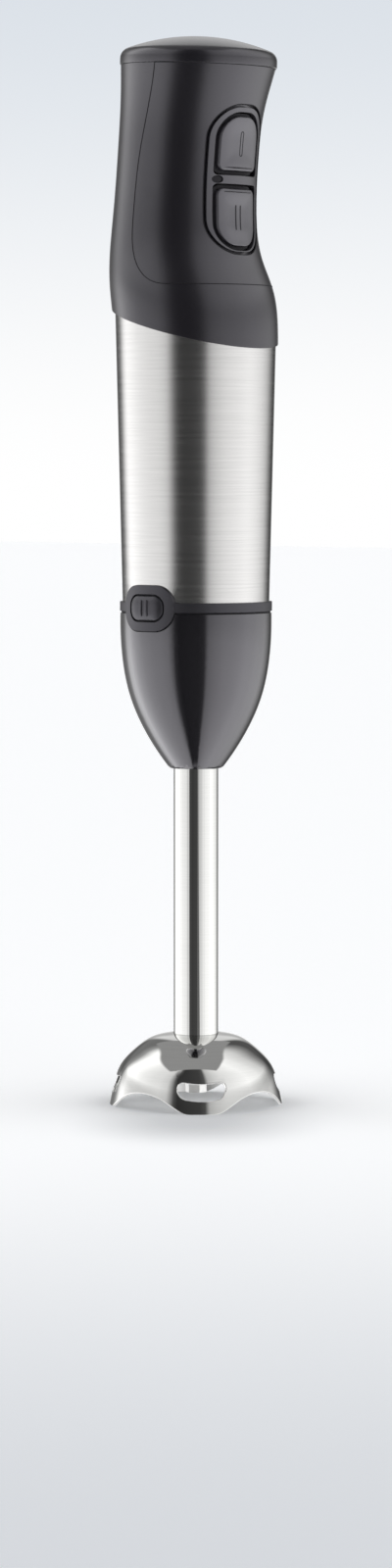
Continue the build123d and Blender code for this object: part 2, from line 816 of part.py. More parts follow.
button_form = handle_form(-button_proud)
skirt_form = handle_form(button_groove)
flange_depth = handle_wall + seat_gap + panel_flange_thickness + moving_gap
flange_form = handle_form(flange_depth)
flange_core = handle_form(flange_depth + button_flange_thickness)
for number, (length, level, side) in enumerate(
    (
        (upper_button_length, upper_button_z, 1),
        (lower_button_length, lower_button_z, -1),
    ),
    start=1,
):
    with BuildPart() as rim:
        with BuildSketch(Plane.XZ):
            add(button_outline(length, level, side, button_groove + button_flange))
        extrude(amount=handle_reach)
        add(flange_form, mode=Mode.INTERSECT)
        add(flange_core, mode=Mode.SUBTRACT)
    with BuildPart() as skirt:
        with BuildSketch(Plane.XZ):
            add(button_outline(length, level, side, button_groove - moving_gap))
        extrude(amount=handle_reach)
        add(skirt_form, mode=Mode.INTERSECT)
    with BuildPart() as speed_button:
        with BuildSketch(Plane.XZ):
            add(button_outline(length, level, side))
        extrude(amount=handle_reach)
        add(button_form, mode=Mode.INTERSECT)
        add(skirt.part)
        with BuildSketch(Plane.XZ):
            add(button_outline(length, level, side, 5))
        extrude(amount=button_back, mode=Mode.SUBTRACT)
        add(rim.part)
    speed_button.part.label = f"speed_button_{number}"
    export_step(speed_button.part, f"parts/speed_button_{number}.step")

# ------------------------------------------------------------------ switch board and its switches
with BuildPart() as switch_board:
    with BuildSketch(Plane.XZ.offset(switch_board_face - board_thickness)):
        with Locations((0, panel_z)):
            RectangleRounded(board_width, board_length, 2.0)
            with GridLocations(board_width - 6.0, board_length - 6.0, 2, 2):
                Circle(1.6, mode=Mode.SUBTRACT)
    extrude(amount=board_thickness)
switch_board.part.label = "switch_board"
export_step(switch_board.part, "parts/switch_board.step")

for number, level in ((1, upper_button_z), (2, lower_button_z)):
    with BuildPart() as micro_switch:
        with BuildSketch(Plane.XZ.offset(switch_board_face)):
            with Locations((0, level)):
                Rectangle(switch_width, switch_height)
        extrude(amount=switch_depth)
        fillet(micro_switch.edges().filter_by(Axis.Y), radius=0.5)
        with BuildSketch(Plane.XZ.offset(switch_board_face + 1.0)):
            with Locations((0, level)):
                Circle(plunger_radius + running_gap)
        extrude(amount=switch_depth, mode=Mode.SUBTRACT)
    micro_switch.part.label = f"micro_switch_{number}"
    export_step(micro_switch.part, f"parts/micro_switch_{number}.step")

    with BuildPart() as switch_plunger:
        with BuildSketch(Plane.XZ.offset(button_back)):
            with Locations((0, level)):
                Circle(plunger_radius)
        extrude(amount=-(button_back - switch_board_face - 1.0 - button_travel - 0.6))
    switch_plunger.part.label = f"switch_plunger_{number}"
    export_step(switch_plunger.part, f"parts/switch_plunger_{number}.step")

# ------------------------------------------------------------------ motor, from its output end upwards
z_lower_bracket = z_anchor + anchor_height + 1.5
z_lower_bearing = z_lower_bracket
z_bracket_top = z_lower_bearing + bearing_height + 1.0
z_fan = z_bracket_top + 1.0
z_winding = z_fan + fan_height + 1.5
z_stack = z_winding + winding_overhang
z_chassis_top = z_joint + chassis_rise
z_upper_top = z_chassis_top - 2.0
z_upper_bearing = z_upper_top - bearing_height
z_upper_bracket = z_upper_bearing - 1.0
z_commutator = z_upper_bearing - 3.0 - commutator_length
z_brush = z_commutator + commutator_length / 2
z_stack_top = z_commutator - 1.5 - winding_overhang
stator_length = z_stack_top - z_stack
chassis_bore = chassis_radius - chassis_wall
ring_bore = chassis_bore - mount_ring_wall
z_dog_top = z_lower_bracket - 1.2
bolt_circle = stator_flat + bolt_radius + 0.3

with BuildPart() as joint_ring:
    with BuildSketch(Plane.XY.offset(z_joint - 11.0)):
        Circle(sleeve_top_radius - 1.2)
    extrude(amount=z_chassis_top - z_joint + 11.0)
    add(lining_form, mode=Mode.INTERSECT)
with BuildPart() as motor_chassis:
    with BuildSketch(Plane.XY.offset(z_sleeve)):
        Circle(chassis_radius)
    extrude(amount=z_chassis_top - z_sleeve)
    add(joint_ring.part)
    with BuildSketch(Plane.XY.offset(z_sleeve)):
        Circle(chassis_bore)
    extrude(amount=z_chassis_top - z_sleeve, mode=Mode.SUBTRACT)
    with BuildSketch(Plane.YZ):
        add(bezel_outline(seat_gap))
    extrude(amount=2 * collar_radius, both=True, mode=Mode.SUBTRACT)
    with Locations((0, 0, z_fan + fan_height / 2)):
        with PolarLocations(chassis_radius, 8):
            Box(3 * chassis_wall, 6.0, fan_height, mode=Mode.SUBTRACT)
motor_chassis.part.label = "motor_chassis"
export_step(motor_chassis.part, "parts/motor_chassis.step")

for name, low in (("lower", z_lower_bracket), ("upper", z_upper_bracket + 1.0)):
    mount_ring = tube(chassis_bore - running_gap, ring_bore, low, low + bearing_height)
    mount_ring.label = f"{name}_mount_ring"
    export_step(mount_ring, f"parts/{name}_mount_ring.step")

for name, low in (("lower", z_lower_bearing), ("upper", z_upper_bearing)):
    bearing = tube(bearing_radius, motor_shaft_radius + running_gap, low, low + bearing_height)
    bearing.label = f"{name}_bearing"
    export_step(bearing, f"parts/{name}_bearing.step")


def bracket_plate(low, high):
    """A spoked end plate of the motor with a seat for its bearing."""
    with BuildPart() as plate:
        with BuildSketch(Plane.XY.offset(low)):
            Circle(ring_bore - running_gap)
            Circle(bearing_radius, mode=Mode.SUBTRACT)
            with PolarLocations((bearing_radius + ring_bore) / 2 + 0.2, 4, start_angle=45):
                SlotOverall(11.0, 6.0, rotation=90, mode=Mode.SUBTRACT)
        extrude(amount=high - low)
        with PolarLocations(bolt_circle, 2, start_angle=90):
            with Locations((0, 0, low)):
                Cylinder(
                    bolt_radius, high - low, align=(Align.CENTER, Align.CENTER, Align.MIN), mode=Mode.SUBTRACT
                )
    return plate.part


with BuildPart() as lower_bracket:
    add(bracket_plate(z_lower_bracket, z_bracket_top - 1.0))
    with BuildSketch(Plane.XY.offset(z_bracket_top - 1.0)):
        Circle(bearing_radius + 1.5)
        Circle(motor_shaft_radius + 2.0, mode=Mode.SUBTRACT)
    extrude(amount=0.8)
    with BuildSketch(Plane.XY.offset(z_bracket_top - 1.0)):
        with GridLocations(2 * (fan_radius + 2.2), 0, 2, 1):
            Rectangle(2.8, 12.0)
    extrude(amount=z_stack - z_bracket_top + 1.0)
lower_bracket.part.label = "lower_bracket"
export_step(lower_bracket.part, "parts/lower_bracket.step")

holder_reach = stator_radius - 3.0
with BuildPart() as upper_bracket:
    add(bracket_plate(z_upper_bracket, z_upper_top))
    with BuildSketch(Plane.XY.offset(z_upper_bracket)):
        Circle(bearing_radius + 1.5)
        Circle(motor_shaft_radius + 2.0, mode=Mode.SUBTRACT)
    extrude(amount=1.0)
    with BuildSketch(Plane.XY.offset(z_stack_top)):
        with GridLocations(2 * (stator_radius - 1.8), 0, 2, 1):
            Rectangle(2.8, 12.0)
    extrude(amount=z_upper_bracket - z_stack_top)
    with BuildSketch(Plane.XY.offset(z_brush + brush_height / 2 + 1.0)):
        with GridLocations(0, commutator_radius + holder_reach + 1.0, 1, 2):
            Rectangle(brush_width + 2.0, holder_reach - commutator_radius - 3.0)
    extrude(amount=z_upper_bracket - z_brush - brush_height / 2 - 1.0)
upper_bracket.part.label = "upper_bracket"
export_step(upper_bracket.part, "parts/upper_bracket.step")

stator_bore = armature_radius + air_gap
slot_radius = stator_radius - 3.4
with BuildPart() as stator_core:
    with BuildSketch(Plane.XY.offset(z_stack)):
        Circle(stator_radius)
        Rectangle(2 * stator_radius, 2 * stator_flat, mode=Mode.INTERSECT)
        Circle(stator_bore, mode=Mode.SUBTRACT)
        with BuildSketch(mode=Mode.PRIVATE) as winding_slot:
            Circle(slot_radius)
            Circle(stator_bore - 1.0, mode=Mode.SUBTRACT)
            with Locations((0, 0)):
                Rectangle(2 * stator_bore * sin(radians(50)), 2 * stator_radius, mode=Mode.INTERSECT)
        add(winding_slot.sketch, mode=Mode.SUBTRACT)
    extrude(amount=stator_length)
stator_core.part.label = "stator_core"
export_step(stator_core.part, "parts/stator_core.step")

coil_reach = stator_bore * sin(radians(50)) - seat_gap
with BuildPart() as field_coils:
    with BuildSketch(Plane.XY.offset(z_stack - winding_overhang + 2.0)):
        Circle(slot_radius - seat_gap)
        Circle(stator_bore + 0.4, mode=Mode.SUBTRACT)
        Rectangle(1.2, 2 * stator_radius, mode=Mode.SUBTRACT)
    extrude(amount=stator_length + 2 * winding_overhang - 4.0)
    with Locations((0, 0, z_stack + stator_length / 2)):
        for side in (-1, 1):
            with Locations((side * (coil_reach + stator_radius), 0, 0)):
                Box(2 * stator_radius, 2 * stator_radius, stator_length + 2 * seat_gap, mode=Mode.SUBTRACT)
field_coils.part.label = "field_coils"
export_step(field_coils.part, "parts/field_coils.step")

with BuildPart() as motor_bolts:
    with PolarLocations(bolt_circle, 2, start_angle=90):
        with Locations((0, 0, z_lower_bracket)):
            Cylinder(
                bolt_radius,
                z_upper_top - z_lower_bracket,
                align=(Align.CENTER, Align.CENTER, Align.MIN),
            )
motor_bolts.part.label = "motor_bolts"
export_step(motor_bolts.part, "parts/motor_bolts.step")

with BuildPart() as motor_shaft:
    with BuildSketch(Plane.XY.offset(z_dog + dog_socket_depth + 1.0)):
        Circle(motor_shaft_radius)
    extrude(amount=z_upper_top + 1.0 - z_dog - dog_socket_depth - 1.0)
motor_shaft.part.label = "motor_shaft"
export_step(motor_shaft.part, "parts/motor_shaft.step")

with BuildPart() as drive_dog:
    with BuildSketch(Plane.XY.offset(z_dog)):
        Circle(dog_radius)
    extrude(amount=z_dog_top - z_dog)
    chamfer(drive_dog.faces().sort_by(Axis.Z)[-1].edges(), length=1.0)
    with BuildSketch(Plane.XY.offset(z_dog)):
        add(spline_outline(spline_radius + moving_gap, spline_root_radius + moving_gap))
        with PolarLocations(0, spline_teeth):
            with Locations((spline_radius / 2, 0)):
                Rectangle(spline_radius, 0.62 * spline_root_radius + 2 * moving_gap)
    extrude(amount=dog_socket_depth, mode=Mode.SUBTRACT)
    with BuildSketch(Plane.XY.offset(z_dog + dog_socket_depth + 1.0)):
        Circle(motor_shaft_radius)
    extrude(amount=z_dog_top, mode=Mode.SUBTRACT)
drive_dog.part.label = "drive_dog"
export_step(drive_dog.part, "parts/drive_dog.step")

with BuildPart() as cooling_fan:
    with BuildSketch(Plane.XY.offset(z_fan)):
        Circle(fan_radius)
    extrude(amount=1.2)
    with BuildSketch(Plane.XY.offset(z_fan)):
        Circle(motor_shaft_radius + 3.0)
    extrude(amount=fan_height)
    with BuildSketch(Plane.XY.offset(z_fan + 1.2)):
        with PolarLocations((fan_radius + motor_shaft_radius + 3.0) / 2 + 1.0, fan_blades):
            Rectangle(fan_radius - motor_shaft_radius - 5.0, 1.0, rotation=25)
    extrude(amount=fan_height - 1.2)
    with BuildSketch(Plane.XY.offset(z_fan)):
        Circle(motor_shaft_radius)
    extrude(amount=fan_height, mode=Mode.SUBTRACT)
cooling_fan.part.label = "cooling_fan"
export_step(cooling_fan.part, "parts/cooling_fan.step")

with BuildPart() as armature_core:
    with BuildSketch(Plane.XY.offset(z_stack)):
        Circle(armature_radius)
        with PolarLocations(armature_radius, armature_slots):
            SlotOverall(9.0, 2.2, mode=Mode.SUBTRACT)
        Circle(motor_shaft_radius, mode=Mode.SUBTRACT)
    extrude(amount=stator_length)
armature_core.part.label = "armature_core"
export_step(armature_core.part, "parts/armature_core.step")

with BuildPart() as armature_windings:
    with BuildSketch(Plane.XZ) as coil_ends:
        for low in (z_stack - winding_overhang + 1.0, z_stack_top + 0.1):
            with Locations((motor_shaft_radius + 1.0, low)):
                Rectangle(
                    armature_radius - motor_shaft_radius - 2.4,
                    winding_overhang - 1.2,
                    align=(Align.MIN, Align.MIN),
                )
        chamfer(coil_ends.vertices(), length=1.6)
    revolve(axis=Axis.Z)
armature_windings.part.label = "armature_windings"
export_step(armature_windings.part, "parts/armature_windings.step")

with BuildPart() as commutator:
    with BuildSketch(Plane.XY.offset(z_commutator)):
        Circle(commutator_radius)
        Circle(motor_shaft_radius, mode=Mode.SUBTRACT)
    extrude(amount=commutator_length)
commutator.part.label = "commutator"
export_step(commutator.part, "parts/commutator.step")

brush_start = commutator_radius + running_gap
with BuildPart() as brush_holders:
    with BuildSketch(Plane.XZ):
        with Locations((0, z_brush)):
            Rectangle(brush_width + 2.0, brush_height + 2.0)
            Rectangle(brush_width, brush_height, mode=Mode.SUBTRACT)
    extrude(amount=holder_reach, both=True)
    with Locations((0, 0, z_brush)):
        Box(4 * commutator_radius, 2 * commutator_radius + 3.0, 4 * brush_height, mode=Mode.SUBTRACT)
brush_holders.part.label = "brush_holders"
export_step(brush_holders.part, "parts/brush_holders.step")

with BuildPart() as carbon_brushes:
    with BuildSketch(Plane.XZ):
        with Locations((0, z_brush)):
            Rectangle(brush_width - 2 * running_gap, brush_height - 2 * running_gap)
    extrude(amount=holder_reach - 3.0, both=True)
    with Locations((0, 0, z_brush)):
        Cylinder(brush_start, 2 * brush_height, mode=Mode.SUBTRACT)
carbon_brushes.part.label = "carbon_brushes"
export_step(carbon_brushes.part, "parts/carbon_brushes.step")

# ------------------------------------------------------------------ inner frame that carries the switch board
frame_face = switch_board_face - board_thickness
frame_thickness = 2.4
z_frame_top = z_seam - cap_spigot - 1.0
with BuildPart() as inner_frame:
    with BuildSketch(Plane.XY.offset(z_chassis_top)):
        Circle(chassis_radius)
        Circle(bearing_radius + 2.0, mode=Mode.SUBTRACT)
    extrude(amount=frame_thickness)
    with BuildSketch(Plane.XZ.offset(frame_face - frame_thickness)):
        with Locations((0, z_chassis_top)):
            Rectangle(2 * handle_reach, z_frame_top - z_chassis_top, align=(Align.CENTER, Align.MIN))
    extrude(amount=frame_thickness)
    with BuildSketch(Plane.XY.offset(z_chassis_top)):
        with GridLocations(board_width + 6.0, 0, 2, 1):
            Rectangle(frame_thickness, 2 * handle_reach, align=(Align.CENTER, Align.MIN))
    extrude(amount=z_frame_top - z_chassis_top - 22.0)
    add(lining_form, mode=Mode.INTERSECT)
inner_frame.part.label = "inner_frame"
export_step(inner_frame.part, "parts/inner_frame.step")
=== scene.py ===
# %% [markdown]
# # A stick blender, dressed for the camera
# The solid model of the blender comes in as a frame of separate nodes. This script gives each
# of them its finish, adds the pieces that need a finer surface than a solid has, and sets up
# a plain studio around it. Lengths are in metres, as everywhere in Blender.

import json
from math import asin, cos, pi, radians, sin, sqrt

import bmesh
import bpy
import numpy as np
from mathutils import Matrix, Vector
from mathutils.bvhtree import BVHTree

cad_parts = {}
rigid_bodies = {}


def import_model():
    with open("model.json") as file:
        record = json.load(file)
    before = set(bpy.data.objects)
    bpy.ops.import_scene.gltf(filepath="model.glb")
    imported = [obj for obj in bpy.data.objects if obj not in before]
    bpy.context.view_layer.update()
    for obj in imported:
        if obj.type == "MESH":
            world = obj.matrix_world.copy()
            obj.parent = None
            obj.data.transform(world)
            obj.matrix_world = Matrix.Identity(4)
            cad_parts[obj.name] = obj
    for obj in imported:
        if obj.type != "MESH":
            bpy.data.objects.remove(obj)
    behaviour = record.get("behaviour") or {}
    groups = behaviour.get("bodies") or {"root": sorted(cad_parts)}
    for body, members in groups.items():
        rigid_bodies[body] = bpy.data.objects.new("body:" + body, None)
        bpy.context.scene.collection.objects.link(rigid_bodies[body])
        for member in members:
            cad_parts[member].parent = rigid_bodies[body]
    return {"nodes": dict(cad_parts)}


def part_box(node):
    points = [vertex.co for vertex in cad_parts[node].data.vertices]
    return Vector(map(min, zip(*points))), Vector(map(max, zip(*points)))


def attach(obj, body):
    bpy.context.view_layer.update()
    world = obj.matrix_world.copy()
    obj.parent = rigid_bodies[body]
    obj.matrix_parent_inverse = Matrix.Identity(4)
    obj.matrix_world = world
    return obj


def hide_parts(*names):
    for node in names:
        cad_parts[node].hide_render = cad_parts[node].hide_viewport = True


for leftover in list(bpy.data.objects):
    bpy.data.objects.remove(leftover)

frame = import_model()
bpy.context.scene.view_settings.view_transform = "Standard"
nodes = frame["nodes"]
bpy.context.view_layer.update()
mm = 0.001

# %% [markdown]
# ## The camera
# The blender is seen from its left front, about level with its steel sleeve, through a long
# lens. A long lens, 1.7 metres away, keeps the slim body from tapering much towards the foot.
# The camera looks slightly down, so the bell shows a little of its crown. The lens follows from
# the height of the picture at the blender and from the sensor's height, in millimetres.

# %% Place the camera
view_azimuth = radians(-49.0)
eye_distance = 1.700
eye_height = 0.240
aim_height = 0.1186
picture_height = 0.579
sensor_height_mm = 36.0

eye = Vector((eye_distance * sin(view_azimuth), -eye_distance * cos(view_azimuth), eye_height))
aim = Vector((0.0, 0.0, aim_height))
lens_data = bpy.data.cameras.new("long_lens")
lens_data.sensor_fit = "VERTICAL"
lens_data.sensor_height = sensor_height_mm
lens_data.lens = sensor_height_mm * (aim - eye).length / picture_height
camera = bpy.data.objects.new("camera", lens_data)
camera.location = eye
camera.rotation_euler = (aim - eye).to_track_quat("-Z", "Y").to_euler()
bpy.context.scene.collection.objects.link(camera)
bpy.context.scene.camera = camera
print("lens", round(lens_data.lens, 1), "mm")

# %% [markdown]
# ## Tools for finishes
# A finish is a small network of shader nodes. Three helpers keep each network short: one turns a
# colour written as hex into the linear numbers that light uses, one adds a node of any kind with
# its settings and links, and one starts a finish with the shader's fixed settings and the
# object's own coordinates, in which a pattern keeps its place when the piece moves.

# %% Helpers
def linear(hex_colour):
    """A colour written as sRGB hex, as the four linear numbers that a shader takes."""
    channels = [int(hex_colour[place : place + 2], 16) / 255 for place in (1, 3, 5)]
    values = [c / 12.92 if c <= 0.04045 else ((c + 0.055) / 1.055) ** 2.4 for c in channels]
    return (*values, 1.0)


def add_node(tree, kind, settings=None, **inputs):
    """Adds one shader node with its settings, and sets or links its inputs.

    An input goes by its name, with _ for a space, or by its number after a _, as in _1.
    """
    node = tree.nodes.new(kind)
    for name, value in (settings or {}).items():
        setattr(node, name, value)
    for name, value in inputs.items():
        socket = node.inputs[int(name[1:]) if name[0] == "_" else name.replace("_", " ")]
        if isinstance(value, bpy.types.NodeSocket):
            tree.links.new(value, socket)
        else:
            socket.default_value = value
    return node


def new_finish(name, **settings):
    """Starts a finish: sets the shader's own sockets and finds the object's coordinates."""
    material = bpy.data.materials.new(name)
    material.use_nodes = True
    tree = material.node_tree
    shader = tree.nodes["Principled BSDF"]
    for socket, value in settings.items():
        shader.inputs[socket.replace("_", " ")].default_value = value
    place = add_node(tree, "ShaderNodeTexCoord").outputs["Object"]
    return material, tree, shader, place


multiply = {"operation": "MULTIPLY"}
mix_colour = {"data_type": "RGBA"}
soft_step = {"interpolation_type": "SMOOTHSTEP"}
white = (1.0, 1.0, 1.0, 1.0)
print("mid grey is", round(linear("#808080")[0], 3), "in linear light")

# %% [markdown]
# ## Plastics
# The handle, cap, keys, panel and collar are moulded ABS. A moulded face copies the steel mould's
# fine spark-eroded grain, so it shines softly, and its corners are never sharper than a third of a
# millimetre. The grain is noise in a bump, and a Bevel node rounds the corners in the shading. A
# clear coat adds the brighter rim that dark plastic shows where the eye skims over it, and a
# second, wide noise makes the gloss drift a little, as the plastic's flow in the mould does.

# %% A recipe for moulded plastic
plastic_ior = 1.53
plastic_tint = (0.92, 0.89, 1.0, 1.0)
polished_coat = 0.03
corner_round = 0.35 * mm
flow_width = 22 * mm
flow_change = 0.03


def moulded_plastic(name, colour, roughness, grain_mm, grain_height_mm, coat=0.0, shine=0.5):
    """A moulded finish. A full coat is polished, and a thinner one is as rough as the plastic."""
    material, tree, shader, place = new_finish(
        name, Base_Color=linear(colour), IOR=plastic_ior, Specular_IOR_Level=shine,
        Specular_Tint=plastic_tint, Coat_Weight=coat,
        Coat_Roughness=roughness if coat < 1 else polished_coat,
    )
    flow = add_node(tree, "ShaderNodeTexNoise", Vector=place, Scale=1 / flow_width, Detail=2.0)
    rough = add_node(
        tree, "ShaderNodeMapRange", Value=flow.outputs["Fac"],
        To_Min=roughness * (1 - flow_change), To_Max=roughness * (1 + flow_change),
    )
    tree.links.new(rough.outputs["Result"], shader.inputs["Roughness"])
    grain = add_node(tree, "ShaderNodeTexNoise", Vector=place, Scale=1 / (grain_mm * mm), Detail=3.0)
    rounded = add_node(tree, "ShaderNodeBevel", {"samples": 4}, Radius=corner_round)
    bump = add_node(
        tree, "ShaderNodeBump", Height=grain.outputs["Fac"], Distance=grain_height_mm * mm,
        Strength=1.0, Normal=rounded.outputs["Normal"],
    )
    tree.links.new(bump.outputs["Normal"], shader.inputs["Normal"])
    return material


# %% The plastics and the rubber that show
# Satin ABS: a soft broad glow down each side, and near black between.
satin_abs = moulded_plastic("satin_charcoal_abs", "#201e24", 0.28, 0.5, 0.003, coat=0.7, shine=0.7)
cap_abs = moulded_plastic("satin_cap_abs", "#201e24", 0.26, 0.5, 0.003, coat=0.7, shine=0.7)
# The keys and the panel are a shade lighter, so that a thumb finds them.
button_abs = moulded_plastic("satin_button_abs", "#37363b", 0.32, 0.5, 0.003, coat=0.9, shine=1.0)
panel_abs = moulded_plastic("matt_panel_abs", "#2c2b30", 0.36, 0.5, 0.003, coat=0.8, shine=0.9)
# Gloss black ABS from a polished mould: crisp stripes, with a slight swell where it cooled.
gloss_abs = moulded_plastic("gloss_black_abs", "#1c1b1f", 0.08, 6.0, 0.002, coat=1.0, shine=1.0)
# Matt ABS with a coarser grain: an even dark grey that hides finger marks.
collar_abs = moulded_plastic("matt_collar_abs", "#2c2c2f", 0.42, 0.4, 0.005, shine=0.8)
# Smoked polycarbonate: an almost black window over the lamp.
lens_pc = moulded_plastic("smoked_lens_polycarbonate", "#060607", 0.25, 3.0, 0.001, shine=0.3)
# Rubber drinks the light. The same near black serves as painted shade: rings and cords laid in
# gaps and grooves where shadow falls read as dark lines.
rubber = moulded_plastic("moulded_rubber_and_painted_shade", "#1a1a1b", 0.7, 0.4, 0.01)
print(len(bpy.data.materials), "materials so far, with those that the frame brought")

# %% [markdown]
# ## Metals
# The sleeve is brushed stainless steel: a belt leaves fine lines round it, which spread each
# reflection up and down. The tube and the bell are buffed until they mirror. One recipe makes all
# the metals: noise stretched into lines changes the tone, the roughness and the height a little.
# The real lines are a tenth of a millimetre apart, too fine to show, so these are drawn coarser.

# %% A recipe for drawn and brushed metal
line_stretch = 0.02
line_rough_change = 0.25
line_contrast = (0.3, 0.7)


def drawn_steel(name, colour, roughness, line_mm, line_height_mm, edge_tint=1.0, streak=0.02):
    """A metal with lines round the shaft's axis. A low edge tint darkens it where the eye skims it."""
    material, tree, shader, place = new_finish(
        name, Base_Color=linear(colour), Metallic=1.0,
        Specular_Tint=(edge_tint, edge_tint, edge_tint, 1.0),
    )
    stretched = add_node(
        tree, "ShaderNodeMapping", Vector=place, Scale=(line_stretch, line_stretch, 1.0)
    )
    lines = add_node(
        tree, "ShaderNodeTexNoise", Vector=stretched.outputs["Vector"], Scale=1 / (line_mm * mm),
        Detail=4.0,
    )
    rough = add_node(
        tree, "ShaderNodeMapRange", Value=lines.outputs["Fac"],
        To_Min=roughness * (1 - line_rough_change), To_Max=roughness * (1 + line_rough_change),
    )
    tree.links.new(rough.outputs["Result"], shader.inputs["Roughness"])
    tones = [[part * (1 + change) for part in linear(colour)[:3]] + [1] for change in (-streak, streak)]
    spread = add_node(
        tree, "ShaderNodeMapRange", Value=lines.outputs["Fac"],
        From_Min=line_contrast[0], From_Max=line_contrast[1],
    )
    tone = add_node(
        tree, "ShaderNodeMix", mix_colour, _0=spread.outputs["Result"], _6=tones[0], _7=tones[1]
    )
    tree.links.new(tone.outputs[2], shader.inputs["Base Color"])
    bump = add_node(
        tree, "ShaderNodeBump", Height=lines.outputs["Fac"], Distance=line_height_mm * mm,
        Strength=1.0,
    )
    tree.links.new(bump.outputs["Normal"], shader.inputs["Normal"])
    return material


# %% The steels that show
# Brushed: a silky band of light with soft edges, a little darker where the eye skims it.
brushed_steel = drawn_steel("brushed_stainless", "#dad9d8", 0.22, 0.6, 0.008, edge_tint=0.5, streak=0.05)
# Mirror polished: it shows the room's white screens and the dark gap between them.
polished_steel = drawn_steel("mirror_polished_stainless", "#e4e4e2", 0.035, 0.3, 0.0002)
# As pressed: the inside of the bell is not worth polishing, so it is satin and even. Its pale
# colour is painted light: paler than steel, it lifts the shade inside the bell.
satin_steel = drawn_steel("satin_pressed_stainless", "#f6f6f5", 0.4, 0.4, 0.002)
# Tumbled: the blade and hub lose their burrs in a drum of stones, which leaves them frosty.
inner_steel = drawn_steel("tumbled_stainless", "#f0f0ef", 0.5, 0.4, 0.002)
print(len(bpy.data.materials), "materials")

# %% [markdown]
# ## Finishes inside
# Motor, switches and brackets show only in an opened blender, and the same two recipes cover
# them: turned, rolled and stamped metals, enamelled windings, pressed carbon, nylon and the
# green board.

# %% The finishes of the works
machine_steel = drawn_steel("turned_machine_steel", "#a9aaab", 0.35, 0.3, 0.004)
spring_steel = drawn_steel("rolled_spring_steel", "#a5a7ab", 0.3, 0.3, 0.002)
core_steel = drawn_steel("laminated_core_steel", "#77787b", 0.5, 0.5, 0.02)
copper = drawn_steel("enamelled_copper", "#b0602f", 0.35, 0.5, 0.06)
brass = drawn_steel("stamped_brass", "#c9a45a", 0.3, 0.3, 0.003)
carbon = moulded_plastic("pressed_carbon", "#1b1b1c", 0.6, 0.3, 0.01)
nylon = moulded_plastic("natural_nylon", "#dcd9d0", 0.4, 0.5, 0.004)
grey_nylon = moulded_plastic("glass_filled_nylon", "#7c7e80", 0.5, 0.4, 0.01)
board = moulded_plastic("glass_epoxy_board", "#2d5a3a", 0.4, 0.6, 0.01)
print(len(bpy.data.materials), "materials")

# %% [markdown]
# Each solid comes with the name of its material, and that name picks the finish. The panel and
# the steel that shows under the bell share a name with other pieces, so they get theirs one by one.

# %% Give every solid its finish
finishes = {
    "handle_plastic": satin_abs, "cap_plastic": cap_abs, "button_plastic": button_abs,
    "gloss_black": gloss_abs, "collar_plastic": collar_abs, "brushed_steel": brushed_steel,
    "polished_steel": polished_steel, "spring_steel": spring_steel, "machine_steel": machine_steel,
    "core_steel": core_steel, "copper_enamel": copper, "carbon": carbon, "brass": brass,
    "white_nylon": nylon, "grey_nylon": grey_nylon, "rubber": rubber,
    "circuit_board": board, "dark_lens": lens_pc,
}
for node in nodes.values():
    for place in node.material_slots:
        place.material = finishes[place.material.name]
nodes["control_panel"].material_slots[0].material = panel_abs
for name in ("bell_hub", "blade", "blade_hub", "blade_nut", "drive_shaft"):
    nodes[name].material_slots[0].material = inner_steel
print(len(finishes), "kinds of material on", len(nodes), "nodes")

# %% [markdown]
# ## Making a piece
# A piece is shaped as a bmesh, given a finish, and told which body carries it and which plain
# solid it stands for. Faces that meet at a shallow angle are shaded smoothly. Sharp edges are
# softened with small bevels, because a real edge always catches a thread of light.

# %% Finish a piece, and soften its edges
smooth_up_to = radians(32)
cut_edge = radians(50)
weld = 1e-6
hair = 1e-7


def finished_piece(name, shape, finish, body, *stands_for):
    """Makes an object of a finished bmesh, gives it its finish and lets it ride on a body."""
    mesh = bpy.data.meshes.new(name)
    shape.to_mesh(mesh)
    shape.free()
    mesh.materials.append(finish)
    mesh.shade_smooth()
    mesh.set_sharp_from_angle(angle=smooth_up_to)
    piece = bpy.data.objects.new(name, mesh)
    bpy.context.scene.collection.objects.link(piece)
    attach(piece, body)
    if stands_for:
        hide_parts(*stands_for)
    print(name, len(mesh.polygons), "faces")
    return piece


def soften(shape, width, segments):
    """Rounds every edge as sharp as a cut one, as a mould or a deburring tool leaves it."""
    rims = [
        edge for edge in shape.edges
        if len(edge.link_faces) == 2 and edge.calc_face_angle(0.0) > cut_edge
    ]
    bmesh.ops.bevel(
        shape, geom=rims, offset=width, affect="EDGES", segments=segments, profile=0.5,
        material=-1, clamp_overlap=False, loop_slide=True,
    )
    print(len(rims), "edges softened")


# %% [markdown]
# ## The bell guard
# The guard over the blade is pressed from stainless sheet: a bell with four lobes to stand on,
# four scallops that let food in, and a kidney window in each lobe that lets it out again. Its
# mirror polish shows every dent, so its faces follow the true curve and run along the scallops
# and round the windows instead of being cut through by them.
#
# The curve from the foot to the crown is the one that a bent strip of spring steel takes through
# a row of pins. Draughtsmen used such strips for hulls and handles alike, and a cubic spline is
# the same curve worked out in numbers.

